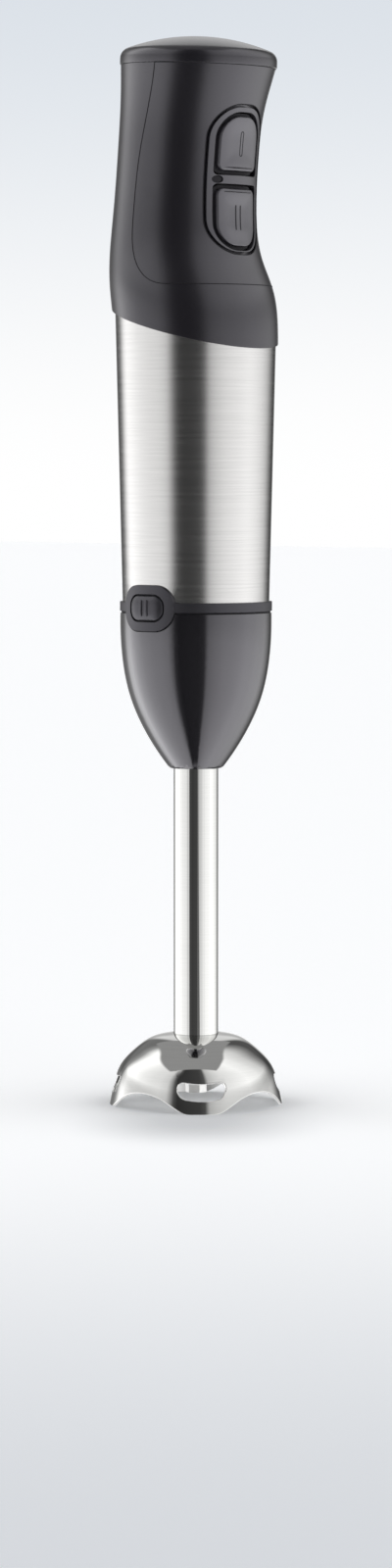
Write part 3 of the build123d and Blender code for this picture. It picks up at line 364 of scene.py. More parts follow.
# %% A smooth curve through a few points
def smooth_line(points, count):
    """Evenly spaced points on the curve that a bent strip takes through the given points."""
    pins = np.array(points, float)
    spans = np.linalg.norm(np.diff(pins, axis=0), axis=1)
    stops = np.concatenate([[0.0], np.cumsum(spans)])
    system = np.eye(len(pins))
    load = np.zeros_like(pins)
    for pin in range(1, len(pins) - 1):
        before, after = spans[pin - 1], spans[pin]
        system[pin, pin - 1 : pin + 2] = before, 2 * (before + after), after
        load[pin] = 6 * ((pins[pin + 1] - pins[pin]) / after - (pins[pin] - pins[pin - 1]) / before)
    bend = np.linalg.solve(system, load)
    line = []
    for stop in np.linspace(0.0, stops[-1], count):
        span = min(int(np.searchsorted(stops, stop, "right")) - 1, len(spans) - 1)
        length = spans[span]
        near = (stops[span + 1] - stop) / length
        far = 1.0 - near
        chord = near * pins[span] + far * pins[span + 1]
        bow = (near**3 - near) * bend[span] + (far**3 - far) * bend[span + 1]
        line.append(chord + bow * length**2 / 6)
    return np.array(line)


line_points = 241
bell_pins = [(32.1, 0.0), (30.559, 7.074), (28.088, 14.279), (22.952, 20.043), (16.532, 24.497), (8.25, 26.2)]
line_radius, line_height = (smooth_line(bell_pins, line_points) * mm).T
line_places = np.arange(line_points)
print("bell", round(line_height[-1] / mm, 1), "mm high and", round(2 * line_radius[0] / mm, 1), "mm wide")

# %% [markdown]
# The foot is cut to a wave by a press tool. Seen square on, each scallop is a low arch: level at
# its top, level again where it runs out into the lobe, and steepest between the two. Three knots
# with a height and a slope each, joined by cubics, give that line. Every column of the bell's
# faces starts on it, so the rows of faces follow the wave and flatten out towards the crown.

# %% The wave of the foot
foot_middle = 31.5 * mm
wave_knots = [(0.0, 6.7, 0.0), (12.05, 3.35, -0.6146), (18.96, 0.0, 0.0)]


def wave_height(reach):
    """How far the scallop's rim stands above the table, this far sideways from its middle, in mm."""
    for (x0, z0, slope0), (x1, z1, slope1) in zip(wave_knots, wave_knots[1:]):
        if reach <= x1:
            t, run = (reach - x0) / (x1 - x0), x1 - x0
            rise = (2 * t**3 - 3 * t**2 + 1) * z0 + (3 * t**2 - 2 * t**3) * z1
            return rise + (t**3 - 2 * t**2 + t) * run * slope0 + (t**3 - t**2) * run * slope1
    return 0.0


def bell_at(turn, along):
    """The radius and height of the outer face: turn about the axis, and along from foot to crown."""
    from_scallop = (turn + pi / 4) % (pi / 2) - pi / 4
    foot = wave_height(abs(foot_middle * sin(from_scallop)) / mm) * mm
    first = np.interp(foot, line_height, line_places)
    at = first + (line_points - 1 - first) * along
    return float(np.interp(at, line_places, line_radius)), float(np.interp(at, line_places, line_height))


print("a scallop is", round(bell_at(0.0, 0.0)[1] / mm, 2), "mm high")

# %% [markdown]
# A plain grid becomes the bell. Each corner keeps the number of its column and its row, because
# these say later where it goes. Rows lie closer together near the foot, where the windows are.

# %% The grid
columns, rows = 288, 44
column_turn = 2 * pi / columns
row_crowding = 1.25


def row_share(row):
    """How far a row lies along the way from the foot to the crown."""
    return (row / rows) ** row_crowding


bell = bmesh.new()
column_of = bell.verts.layers.int.new("column")
row_of = bell.verts.layers.int.new("row")
bmesh.ops.create_grid(bell, x_segments=columns, y_segments=rows, size=0.5)
for corner in bell.verts:
    corner[column_of] = round((corner.co.x + 0.5) * columns) % columns
    corner[row_of] = round((corner.co.y + 0.5) * rows)
print("grid of", len(bell.faces), "faces")

# %% [markdown]
# A kidney window is a slot with round ends that sags in its middle. In the grid it starts as a
# plain block of columns and rows. The rim of the block is laid on the rim of the kidney, and the
# rings of corners round it are drawn in less and less, so that no face is cut or pinched.

# %% The kidney window
window_centre = 7.8 * mm
window_half = 9.0 * mm
window_round = 3.1 * mm
window_sag = 34.0 * mm
window_columns = 11
window_rows = (11, 21)
block_grow = 1.75
long_side = 0.999
middle_row = sum(window_rows) / 2
half_rows = (window_rows[1] - window_rows[0]) / 2
half_turn = window_columns * column_turn


def nearest_lobe(turn):
    return round((turn - pi / 4) / (pi / 2)) * pi / 2 + pi / 4


def slot_edge(across, up):
    """Where a point on the rim of the plain block lies on the rim of the kidney window."""
    straight = window_half - window_round
    x = across * window_half
    on_long_side = abs(up) >= long_side
    if abs(x) <= straight and on_long_side:
        edge = (x, up * window_round)
    else:
        run = (abs(x) - straight) / window_round if on_long_side else 2.0 - abs(up)
        sweep = pi / 4 * (2.0 - run)
        edge = (
            (straight + window_round * cos(sweep)) * (1 if x > 0 else -1),
            window_round * sin(sweep) * (1 if up > 0 else -1),
        )
    return edge[0], edge[1] + window_sag - sqrt(window_sag**2 - edge[0] ** 2)


def around_window(lobe, across, up):
    """Where a corner near a window goes: its turn, radius and height."""
    ring = max(abs(across), abs(up))
    rim_across, rim_up = slot_edge(across / ring, up / ring)
    far_turn = across / ring * block_grow * half_turn
    far_row = max(middle_row + up / ring * block_grow * half_rows, 0.0)
    far_radius, far_height = bell_at(lobe + far_turn, row_share(far_row))
    share = (ring - 1.0) / (block_grow - 1.0)
    sideways = rim_across + (far_radius * sin(far_turn) - rim_across) * share
    height = window_centre + rim_up + (far_height - window_centre - rim_up) * share
    radius = float(np.interp(height, line_height, line_radius))
    return lobe + asin(sideways / radius), radius, height


print("window", 2 * window_half / mm, "mm wide and", 2 * window_round / mm, "mm high")

# %% Bend the grid into the bell
for corner in bell.verts:
    turn = corner[column_of] * column_turn
    radius, height = bell_at(turn, row_share(corner[row_of]))
    lobe = nearest_lobe(turn)
    across = (turn - lobe) / half_turn
    up = (corner[row_of] - middle_row) / half_rows
    if 1.0 - weld <= max(abs(across), abs(up)) < block_grow:
        turn, radius, height = around_window(lobe, across, up)
    corner.co = (radius * cos(turn), radius * sin(turn), height)


def in_window(corner):
    turn = corner[column_of] * column_turn
    beside = abs(turn - nearest_lobe(turn)) / column_turn
    return beside <= window_columns + weld and window_rows[0] <= corner[row_of] <= window_rows[1]


windows = [face for face in bell.faces if all(in_window(corner) for corner in face.verts)]
print("faces cut out for the windows:", len(windows))
bmesh.ops.delete(bell, geom=windows, context="FACES")
bmesh.ops.remove_doubles(bell, verts=bell.verts, dist=weld)

# %% [markdown]
# The sheet gets its thickness on the inside, and its cut edges are rounded as the deburring
# wheel leaves them. Outside it is mirror polished. Inside it stays as it came from the press.

# %% Thicken the bell
bell_wall = 1.2 * mm
bell_rim_round = 0.25 * mm
bmesh.ops.recalc_face_normals(bell, faces=bell.faces)
if sum(face.normal.dot(Vector((*face.calc_center_median().xy, 0))) for face in bell.faces) < 0:
    bmesh.ops.reverse_faces(bell, faces=bell.faces)
bmesh.ops.solidify(bell, geom=bell.faces[:], thickness=bell_wall)
soften(bell, bell_rim_round, 2)
for corner in bell.verts:
    corner.co.z = max(corner.co.z, 0.0)
print("bell's wall", bell_wall / mm, "mm,", len(bell.faces), "faces")

# %% Polish it outside only
guard = finished_piece("bell_guard_pressing", bell, polished_steel, "blending_shaft", "bell_guard")
# The inside gets the satin steel, whose pale colour is partly painted light.
guard.data.materials.append(satin_steel)
for face in guard.data.polygons:
    outward = Vector((face.center.x, face.center.y, 0)).normalized() + Vector((0, 0, 1))
    face.material_index = 1 if face.normal.dot(outward) < 0 else 0
print("faces inside", sum(face.material_index for face in guard.data.polygons))

# %% [markdown]
# ## The keys
# Each speed has a rounded key, dished for a fingertip and set in a dark groove, and a smaller key
# on each side of the collar lets the shaft go. A key is a moulded cap with a thin wall, so it is
# made as a sheet: a plain square whose corners are rounded, a few narrow rings along the rim to
# carry the edge's round, and a grid in the middle that takes the bend. All keys share these tools.

# %% The outline of a key, flat on the table
corner_step = 0.6 * mm
corner_steps = 7


def key_outline(size, grow=0.0):
    """A flat face. Its size is its width, its height and the radii of its upper and lower corners."""
    width, height, upper_corner, lower_corner = size
    sheet = bmesh.new()
    bmesh.ops.create_grid(sheet, x_segments=1, y_segments=1, size=0.5)
    bmesh.ops.scale(sheet, vec=(width + 2 * grow, height + 2 * grow, 1), verts=sheet.verts)
    for side, radius in ((1, upper_corner), (-1, lower_corner)):
        corners = [corner for corner in sheet.verts if corner.co.y * side > height / 2 - hair]
        bmesh.ops.bevel(
            sheet, geom=corners, offset=radius + grow, affect="VERTICES", profile=0.5, material=-1,
            segments=max(corner_steps, round((radius + grow) / corner_step)),
        )
    return sheet


def from_rim(x, y, size):
    """How far a point lies inside a key's outline."""
    width, height, upper_corner, lower_corner = size
    radius = upper_corner if y > 0 else lower_corner
    past_x = abs(x) - (width / 2 - radius)
    past_y = abs(y) - (height / 2 - radius)
    outside = sqrt(max(past_x, 0.0) ** 2 + max(past_y, 0.0) ** 2)
    return radius - outside - min(max(past_x, past_y), 0.0)


def inner_rings(sheet, face, widths):
    """Insets a face again and again, which leaves a narrow ring for each width."""
    for width in widths:
        bmesh.ops.inset_region(
            sheet, faces=[face], thickness=width, use_boundary=True, use_even_offset=True
        )


sample_key = (20 * mm, 16 * mm, 4 * mm, 4 * mm)
print("a sample key's middle lies", round(from_rim(0, 0, sample_key) / mm, 1), "mm inside its rim")

# %% The face of a key
dish_start, dish_end = 1.5 * mm, 7.0 * mm


def dished(surface, size, rim_round, dish):
    """Gives the depth of a key's face: a plain surface with its rim rolled off and its middle sunk."""

    def face_at(x, y):
        inside = from_rim(x, y, size)
        past = max(rim_round - inside, 0.0)
        roll = rim_round - sqrt(max(rim_round**2 - past**2, 0.0))
        share = min(max((inside - dish_start) / (dish_end - dish_start), 0.0), 1.0)
        return surface(x, y) + roll + dish * share * share * (3 - 2 * share)

    return face_at


sample_face = dished(lambda x, y: 0.0, sample_key, 0.5 * mm, 0.4 * mm)
print("a sample key is", round(sample_face(0, 0) / mm, 2), "mm deep in its middle")

# %% Cut, bend and thicken
def slice_across(shape, place, geometry=None, normal=(0, 1, 0)):
    """Cuts all faces, or those given, along a plane at this place on the plane's normal."""
    geometry = geometry or shape.verts[:] + shape.edges[:] + shape.faces[:]
    bmesh.ops.bisect_plane(
        shape, geom=geometry, plane_co=Vector(normal) * place, plane_no=normal, dist=hair
    )


def cut_to_grid(sheet, size, step, keep_out):
    """Cuts the faces that lie well inside the outline into a grid, so that they can bend."""
    for normal, reach in (((1, 0, 0), size[0]), ((0, 1, 0), size[1])):
        for place in np.arange(-reach / 2 + step, reach / 2, step):
            faces = [
                face for face in sheet.faces
                if from_rim(*face.calc_center_median().xy, size) > keep_out
            ]
            around = {part for face in faces for part in (*face.edges, *face.verts)}
            slice_across(sheet, place, faces + list(around), normal)


def stand_up(sheet, depth_at, middle, facing):
    """Stands a flat sheet up at its place, bends it and turns it to the side that it faces."""
    for corner in sheet.verts:
        x, y = corner.co.xy
        corner.co = facing @ Vector((x, depth_at(x, y), middle + y))


def push_in(sheet, made, depth, facing):
    """Moves the corners that an extrusion made straight in."""
    moved = [part for part in made["geom"] if isinstance(part, bmesh.types.BMVert)]
    bmesh.ops.translate(sheet, vec=facing @ Vector((0, depth, 0)), verts=moved)


def face_outwards(sheet, facing):
    """Turns an open sheet's faces to the side that it faces."""
    bmesh.ops.recalc_face_normals(sheet, faces=sheet.faces)
    largest = max(sheet.faces, key=lambda face: face.calc_area())
    if largest.normal.dot(facing @ Vector((0, -1, 0))) < 0:
        bmesh.ops.reverse_faces(sheet, faces=sheet.faces)


# %% A key, and the ring of painted shade in its groove
rim_clear = 0.01 * mm
key_rings = [width * mm for width in (0.08, 0.1, 0.14, 0.2, 0.3, 0.5)]
key_side = 2.6 * mm
key_wall = 1.0 * mm
key_grid = 1.0 * mm
shade_ring_wall = 0.9 * mm


def moulded_key(name, body, node, size, middle, face_at, facing, finish):
    """A thin-walled cap with a bent face and straight sides."""
    key = key_outline(size)
    inner_rings(key, key.faces[:][0], key_rings)
    cut_to_grid(key, size, key_grid, sum(key_rings) + rim_clear)
    rim = [edge for edge in key.edges if edge.is_boundary]
    stand_up(key, face_at, middle, facing)
    push_in(key, bmesh.ops.extrude_edge_only(key, edges=rim), key_side, facing)
    face_outwards(key, facing)
    bmesh.ops.solidify(key, geom=key.faces[:], thickness=key_wall)
    finished_piece(name, key, finish, body, node)


def groove_shade_ring(name, body, size, reach, rings, depth_at, middle, facing):
    """Dark rubber ring of painted groove shade, reaching past a key's outline, at a depth of its own."""
    shade_ring = key_outline(size, grow=reach)
    face = shade_ring.faces[:][0]
    inner_rings(shade_ring, face, rings)
    bmesh.ops.delete(shade_ring, geom=[face], context="FACES_ONLY")
    stand_up(shade_ring, depth_at, middle, facing)
    face_outwards(shade_ring, facing)
    bmesh.ops.solidify(shade_ring, geom=shade_ring.faces[:], thickness=shade_ring_wall)
    finished_piece(name, shade_ring, rubber, body)


# %% Bars that mark a key or give a finger its grip
bar_corners = 24
bar_step = 0.8 * mm
bar_root = 0.3 * mm
flat_up_to = 0.2 * mm
bar_soft = 0.45


def key_bars(name, body, places, width, height, line, proud, middle, face_at, facing, finish):
    """Upright bars with round ends, or only their outlines where a line's width is given."""
    bars = bmesh.new()
    for place in places:
        spot = Matrix.Translation((place, 0, 0)) @ Matrix.Rotation(pi / bar_corners, 4, "Z")
        made = bmesh.ops.create_circle(
            bars, cap_ends=True, segments=bar_corners, radius=width / 2, matrix=spot
        )
        for corner in made["verts"]:
            corner.co.y += (height - width) / 2 * (1 if corner.co.y > 0 else -1)
    if line:
        inner = bars.faces[:]
        bmesh.ops.inset_region(
            bars, faces=inner, thickness=line, use_boundary=True, use_even_offset=True
        )
        bmesh.ops.delete(bars, geom=inner, context="FACES_ONLY")
    for place in np.arange(width - height / 2, height / 2 - width / 2, bar_step):
        slice_across(bars, place)
    stand_up(bars, lambda x, y: face_at(x, y) - proud, middle, facing)
    push_in(bars, bmesh.ops.extrude_face_region(bars, geom=bars.faces[:]), proud + bar_root, facing)
    bmesh.ops.recalc_face_normals(bars, faces=bars.faces)
    if proud > flat_up_to:
        soften(bars, bar_soft * proud, 3)
    finished_piece(name, bars, finish, body)


# %% [markdown]
# ## The speed keys
# The large keys follow the handle's curve, which swells and leans. A ray from the front finds how
# deep the solid key's face lies at three points on a line, and a parabola carries that curve on to
# the rim and past it, under the panel.

# %% The speed keys' sizes
key_width, key_round, key_corner = 20.0 * mm, 8.0 * mm, 2.5 * mm
key_sizes = {
    1: (key_width, 19.3 * mm, key_round, key_corner),
    2: (key_width, 20.6 * mm, key_corner, key_round),
}
key_bridge, key_groove = 3.1 * mm, 1.7 * mm
panel_middle = (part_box("control_panel")[0].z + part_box("control_panel")[1].z) / 2
key_middles = {
    1: panel_middle + key_bridge / 2 + key_groove + key_sizes[1][1] / 2,
    2: panel_middle - key_bridge / 2 - key_groove - key_sizes[2][1] / 2,
}
front = Matrix.Identity(3)
print("key middles", {number: round(middle / mm, 2) for number, middle in key_middles.items()}, "mm")

# %% How deep the solid key's face lies
ray_start = -0.2
sure_inside = 0.4 * mm
reach_step = 0.02


def solid_face(number):
    """Gives a function for the depth of a solid speed key's face, carried on past its edge."""
    solid = bmesh.new()
    solid.from_mesh(nodes[f"speed_button_{number}"].data)
    search = BVHTree.FromBMesh(solid)
    solid.free()

    def depth_at(x, y):
        reach = 1.0
        while from_rim(x * reach, y * reach, key_sizes[number]) < sure_inside:
            reach -= reach_step
        near, half, far = (
            search.ray_cast(
                Vector((x * share, ray_start, key_middles[number] + y * share)), Vector((0, 1, 0))
            )[0].y
            for share in (0.0, reach / 2, reach)
        )
        past = 1 - reach
        return (near * (1 - reach / 2) * past - 2 * half * past + far * (1 - reach / 2)) * 2 / reach**2

    return depth_at


print("key I lies", round(-solid_face(1)(0.0, 0.0) / mm, 2), "mm in front of the axis")

# %% [markdown]
# The dark groove round a key has a floor of painted shade: a ring of near black rubber that moves
# with the key and tucks under the panel, laid where the groove's shadow falls. It is one ring that
# steps down at the panel's edge, seen only as a dark line. The marks are the simplest there are:
# one bar for the slow speed and two for the fast one, inlaid in a darker plastic, each drawn out
# of a small circle.

# %% Mould and mark the speed keys, and lay painted shade in their grooves
key_rim_round = 0.5 * mm
mark_height, mark_proud = 9.0 * mm, 0.04 * mm
shade_tuck, shade_edge, shade_step = 2.9 * mm, key_groove - 0.35 * mm, 0.02 * mm
shade_depth, tucked_depth = 1.95 * mm, 4.05 * mm
shade_rings = (shade_tuck - shade_edge - shade_step, shade_step, shade_edge - shade_step)
for number, body, dish, marks, mark_width, mark_line in (
    (1, "first_speed_button", 0.35 * mm, (0.0,), 1.7 * mm, 0.34 * mm),
    (2, "second_speed_button", 0.55 * mm, (-1.25 * mm, 1.25 * mm), 0.6 * mm, 0.0),
):
    size, middle, surface = key_sizes[number], key_middles[number], solid_face(number)

    def shade_at(x, y):
        tucked = from_rim(x, y, size) < -shade_edge - shade_step / 2
        return surface(x, y) + (tucked_depth if tucked else shade_depth)

    # The ring in the groove is painted shade: near black rubber where the groove's shadow falls.
    groove_shade_ring(
        f"speed_key_{number}_seal", body, size, shade_tuck, shade_rings, shade_at, middle, front
    )
    face_at = dished(surface, size, key_rim_round, dish)
    moulded_key(
        f"speed_key_{number}", body, f"speed_button_{number}", size, middle, face_at, front,
        button_abs,
    )
    key_bars(
        f"speed_key_{number}_mark", body, marks, mark_width, mark_height, mark_line, mark_proud,
        middle, face_at, front, rubber,
    )

# %% [markdown]
# ## The release keys
# Thumb and finger squeeze these two to let the shaft drop. Each is a small pillow: its middle
# stands proud to be found without looking, and its rim drops level with the surround, so that the
# shadow in the gap shows all round it, painted as a ring of near black rubber. Two upright ribs
# give a wet finger its grip.

# %% The release keys' sizes
release_size = (15.0 * mm, 8.8 * mm, 3.7 * mm, 3.7 * mm)
release_rim_round = 0.2 * mm
rib_width, rib_height, rib_apart, rib_proud = 1.1 * mm, 6.1 * mm, 2.6 * mm, 0.4 * mm
pillow_drop, pillow_slope = 0.9 * mm, 3.0 * mm
release_shade_reach, release_shade_depth = 0.5 * mm, 0.8 * mm
release_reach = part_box("release_button_right")[1].x - rib_proud
surround_reach = release_reach - pillow_drop
release_middle = (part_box("release_button_left")[0].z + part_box("release_button_left")[1].z) / 2
print("release keys at", round(release_middle / mm, 2), "mm")


def pillow(x, y):
    """The depth of a face that follows the collar's round and drops towards its rim."""
    slope = 1 - min(max(from_rim(x, y, release_size), 0.0) / pillow_slope, 1.0)
    return pillow_drop * slope**2 - sqrt(release_reach**2 - x * x)


def beside_pillow(x, y):
    """The depth of the ring of painted shade, which follows the surround a little below it."""
    return release_shade_depth - sqrt(surround_reach**2 - x * x)


# %% Mould the release keys
for side, quarter in (("left", -pi / 2), ("right", pi / 2)):
    body = f"{side}_release"
    facing = Matrix.Rotation(quarter, 3, "Z")
    round_face = dished(pillow, release_size, release_rim_round, 0.0)
    # The ring round the key is painted shade: near black rubber in the gap where its shadow falls.
    groove_shade_ring(
        f"release_key_{side}_seal", body, release_size, release_shade_reach, (release_shade_depth,),
        beside_pillow, release_middle, facing,
    )
    moulded_key(
        f"release_key_{side}", body, f"release_button_{side}", release_size, release_middle,
        round_face, facing, collar_abs,
    )
    key_bars(
        f"release_key_{side}_ribs", body, (-rib_apart / 2, rib_apart / 2), rib_width, rib_height,
        0.0, rib_proud, release_middle, round_face, facing, collar_abs,
    )

# %% [markdown]
# ## The seam of the handle
# The handle is two shells, and the shadow in the joint where they meet is painted: a thin cord of
# near black rubber lies in it, a fine dark line that runs down the side and round the panel. The
# front shell already has that edge, so the cord is laid along it: a copy of the shell keeps only
# its sharp outer edges, which become a curve with a round section.

# %% Find the seam
seam_angle = 1.0
faces_out = 0.55
edges = bmesh.new()
edges.from_mesh(nodes["front_cover"].data)
bmesh.ops.remove_doubles(edges, verts=edges.verts, dist=weld)
not_seam = []
for edge in edges.edges:
    middle = (edge.verts[0].co + edge.verts[1].co) / 2
    outwards = Vector((middle.x, middle.y, 0)).normalized()
    sharp = len(edge.link_faces) == 2 and edge.calc_face_angle() > seam_angle
    if not sharp or max(face.normal.dot(outwards) for face in edge.link_faces) < faces_out:
        not_seam.append(edge)
bmesh.ops.delete(edges, geom=not_seam, context="EDGES")
print("seam", round(sum(edge.calc_length() for edge in edges.edges) / mm), "mm long")

# %% Lay the cord of painted shadow in it
cord_radius = 0.17 * mm
path = bpy.data.meshes.new("seam_path")
edges.to_mesh(path)
edges.free()
cord = bpy.data.objects.new("seam_path", path)
bpy.context.scene.collection.objects.link(cord)
bpy.ops.object.select_all(action="DESELECT")
bpy.context.view_layer.objects.active = cord
cord.select_set(True)
bpy.ops.object.convert(target="CURVE")
cord.data.bevel_depth = cord_radius
cord.data.bevel_resolution = 1
bpy.ops.object.convert(target="MESH")
laid = bmesh.new()
laid.from_mesh(cord.data)
bpy.data.objects.remove(cord)
# The cord is painted shadow: near black rubber along the joint.
finished_piece("seam_shadow_cord", laid, rubber, "motor_unit")

# %% [markdown]
# ## The painted shade under the collar
# A thin ring of near black rubber sits under the collar, where the shaft's black housing pulls up
# against it, and stands in for the shadow in that joint as painted shade. A round piece is made as
# on a lathe, by spinning its section about the axis, and here four corners are enough. Two cuts
# leave the ring out beside the release keys, whose surrounds reach down past it. It shows as a fine
# dark line.

# %% Turn a section about the shaft's axis
def turned(section, turns, closed=True):
    """A section of (radius, height) points, in metres, spun once about the axis."""
    shape = bmesh.new()
    corners = [shape.verts.new((radius, 0.0, height)) for radius, height in section]
    following = corners[1:] + corners[:1] if closed else corners[1:]
    edges = [shape.edges.new(pair) for pair in zip(corners, following)]
    bmesh.ops.spin(
        shape, geom=corners + edges, cent=(0, 0, 0), axis=(0, 0, 1), dvec=(0, 0, 0),
        angle=2 * pi, steps=turns, use_merge=True,
    )
    bmesh.ops.remove_doubles(shape, verts=shape.verts, dist=weld)
    bmesh.ops.recalc_face_normals(shape, faces=shape.faces)
    return shape


# %% Turn the ring of painted shade
ring_turns = 96
ring_gap, ring_tall, ring_set_back, ring_deep = 0.04 * mm, 0.7 * mm, 0.45 * mm, 3.0 * mm
surround_half = 11.8 * mm
housing_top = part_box("shaft_housing")[1]
ring_low, ring_high = housing_top.z + ring_gap, housing_top.z + ring_tall
ring_outer, ring_inner = housing_top.x - ring_set_back, housing_top.x - ring_deep
ring_section = [
    (ring_inner, ring_low), (ring_outer, ring_low), (ring_outer, ring_high), (ring_inner, ring_high),
]
# A ring of painted shade: near black rubber in the joint's shadow under the collar.
shade_ring = turned(ring_section, ring_turns)
for side in (1, -1):
    slice_across(shade_ring, side * surround_half)
beside = [face for face in shade_ring.faces if abs(face.calc_center_median().y) < surround_half]
bmesh.ops.delete(shade_ring, geom=beside, context="FACES")
bmesh.ops.holes_fill(shade_ring, edges=[edge for edge in shade_ring.edges if edge.is_boundary], sides=0)
bmesh.ops.recalc_face_normals(shade_ring, faces=shade_ring.faces)
finished_piece("collar_shade_ring", shade_ring, rubber, "motor_unit")

# %% [markdown]
# ## The long round skins
# The sleeve, the black housing and the tube mirror the studio's edges as straight stripes, and the
# eye follows them. A solid from the workshop is cut along one line where its surface closes, and
# a stripe would break there. So each is copied, its doubled corners are merged across that line,
# and the copy is shaded smoothly all round.

# %% Close the skins
for name, body, finish, slot in (
    ("steel_sleeve", "motor_unit", brushed_steel, "brushed_steel"),
    ("shaft_housing", "blending_shaft", gloss_abs, "gloss_black"),
    ("shaft_tube", "blending_shaft", polished_steel, "polished_steel"),
):
    skin = bmesh.new()
    skin.from_mesh(nodes[name].data)
    bmesh.ops.remove_doubles(skin, verts=skin.verts, dist=weld)
    finished_piece(f"{name}_skin", skin, finish, body, name)

# %% [markdown]
# ## The top cap
# The cap is a shallow dome with a soft shoulder, pressed into the handle's open top. A turned
# shape needs only its section: the dome's large circle, the shoulder's small one, a rim with its
# edge rounded off, which is the fine dark line round the handle, and the plug that holds it.

# %% The cap's sizes
cap_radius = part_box("top_cap")[1].x
cap_turns = 192
dome_steps, shoulder_steps, rim_steps, inner_steps = 22, 14, 7, 16
cap_tilt = radians(2)
cap_forward = 1.2 * mm
cap_rise, cap_dome, cap_shoulder, cap_wall = 11.0 * mm, 73.0 * mm, 4.0 * mm, 2.2 * mm
cap_rim, cap_gap = 0.45 * mm, 0.03 * mm
plug_radius, plug_wall, plug_depth = 23.9 * mm, 1.8 * mm, 4.5 * mm
dome_centre = cap_rise - cap_dome
inner_dome = cap_dome - cap_wall
plug_bore = plug_radius - plug_wall
seam_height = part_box("top_cap")[1].z - cap_dome - dome_centre * cos(cap_tilt)
shoulder_reach = cap_radius - cap_shoulder
shoulder_height = dome_centre + sqrt((cap_dome - cap_shoulder) ** 2 - shoulder_reach**2)
shoulder_start = asin(shoulder_reach / (cap_dome - cap_shoulder))
print("cap seam at", round(seam_height / mm, 2), "mm")

# %% Turn the cap
def arc(reach, height, radius, start, end, count):
    """Points on a circle about a centre. The angle is measured from straight up."""
    angles = np.linspace(start, end, count)
    return [(reach + radius * sin(angle), height + radius * cos(angle)) for angle in angles]


outside = [
    *arc(0.0, dome_centre, cap_dome, 0.0, shoulder_start, dome_steps),
    *arc(shoulder_reach, shoulder_height, cap_shoulder, shoulder_start, pi / 2, shoulder_steps)[1:],
    *arc(cap_radius - cap_rim, cap_rim + cap_gap, cap_rim, pi / 2, pi, rim_steps),
]
plug = [(plug_radius, cap_gap), (plug_radius, -plug_depth), (plug_bore, -plug_depth)]
inside = arc(0.0, dome_centre, inner_dome, asin(plug_bore / inner_dome), 0.0, inner_steps)
cap = turned(outside + plug + inside, cap_turns, closed=False)
bmesh.ops.rotate(cap, cent=(0, 0, 0), matrix=Matrix.Rotation(cap_tilt, 3, "X"), verts=cap.verts)
bmesh.ops.translate(cap, vec=(0, -cap_forward, seam_height), verts=cap.verts)
finished_piece("domed_cap", cap, cap_abs, "motor_unit", "top_cap")

# %% [markdown]
# ## The studio
# Polished steel and gloss black show their surroundings more than themselves, so the light is
# drawn as what they mirror: two tall white screens, left and right of the camera, a dark gap
# between them where the camera stands, and a narrow dark flag behind each screen. The gap is
# the dark stripe down the middle of every round piece, and the flags draw its edges.

# %% Which way a ray looks
world = bpy.data.worlds.new("studio")
world.use_nodes = True
bpy.context.scene.world = world
sky = world.node_tree
direction = add_node(sky, "ShaderNodeTexCoord").outputs["Generated"]
parts_of = add_node(sky, "ShaderNodeSeparateXYZ", Vector=direction)
backwards = add_node(sky, "ShaderNodeMath", multiply, _0=parts_of.outputs["Y"], _1=-1.0)
bearing = add_node(
    sky, "ShaderNodeMath", {"operation": "ARCTAN2"}, _0=parts_of.outputs["X"], _1=backwards.outputs[0]
)
from_front = add_node(
    sky, "ShaderNodeMath", {"operation": "SUBTRACT"}, _0=bearing.outputs[0], _1=view_azimuth
)
round_once = add_node(
    sky, "ShaderNodeMath", {"operation": "WRAP"}, _0=from_front.outputs[0], _1=pi, _2=-pi
)
print("the studio's front is at", round(view_azimuth, 3), "radians")

# %% [markdown]
# The screens are a row of tones, from straight behind the blender on its left, past the front at
# 0 degrees, and on to straight behind it again. A second row shades them by height: brightest
# below, where the pale floor throws light back, darkest a little above level, and brighter again
# towards the ceiling. The two rows are multiplied.

# %% The screens
screen_stops = [
    (-180, 0.8), (-172, 0.8), (-167, 0.2), (-150, 0.2), (-141, 0.4), (-131, 1.3), (-122, 1.7),
    (-108, 1.4), (-90, 1.15), (-70, 1.0), (-56, 0.95), (-43, 0.8), (-32, 0.1), (-26, 0.04),
    (5, 0.06), (13, 0.1), (19, 0.62), (30, 0.8), (45, 0.98), (64, 1.1), (85, 1.25), (108, 1.1),
    (128, 0.8), (143, 0.3), (152, 0.1), (163, 0.1), (170, 0.8), (180, 0.8),
]
shade_stops = [
    (-1, 0.64), (-0.3, 0.64), (-0.14, 0.6), (-0.04, 0.5), (0.04, 0.48), (0.1, 0.34), (0.16, 0.3),
    (0.22, 0.34), (0.32, 0.5), (0.5, 0.47), (0.7, 0.47), (1, 0.5),
]
shade_scale = 2.0


def set_tones(ramp, stops):
    """Sets a ramp's stops. Their places are spread over the ramp, from the first to the last."""
    first, last = stops[0][0], stops[-1][0]
    while len(ramp) > 1:
        ramp.remove(ramp[-1])
    for number, (place, level) in enumerate(stops):
        share = (place - first) / (last - first)
        stop = ramp[0] if number == 0 else ramp.new(share)
        stop.position = share
        stop.color = (level, level, level, 1)


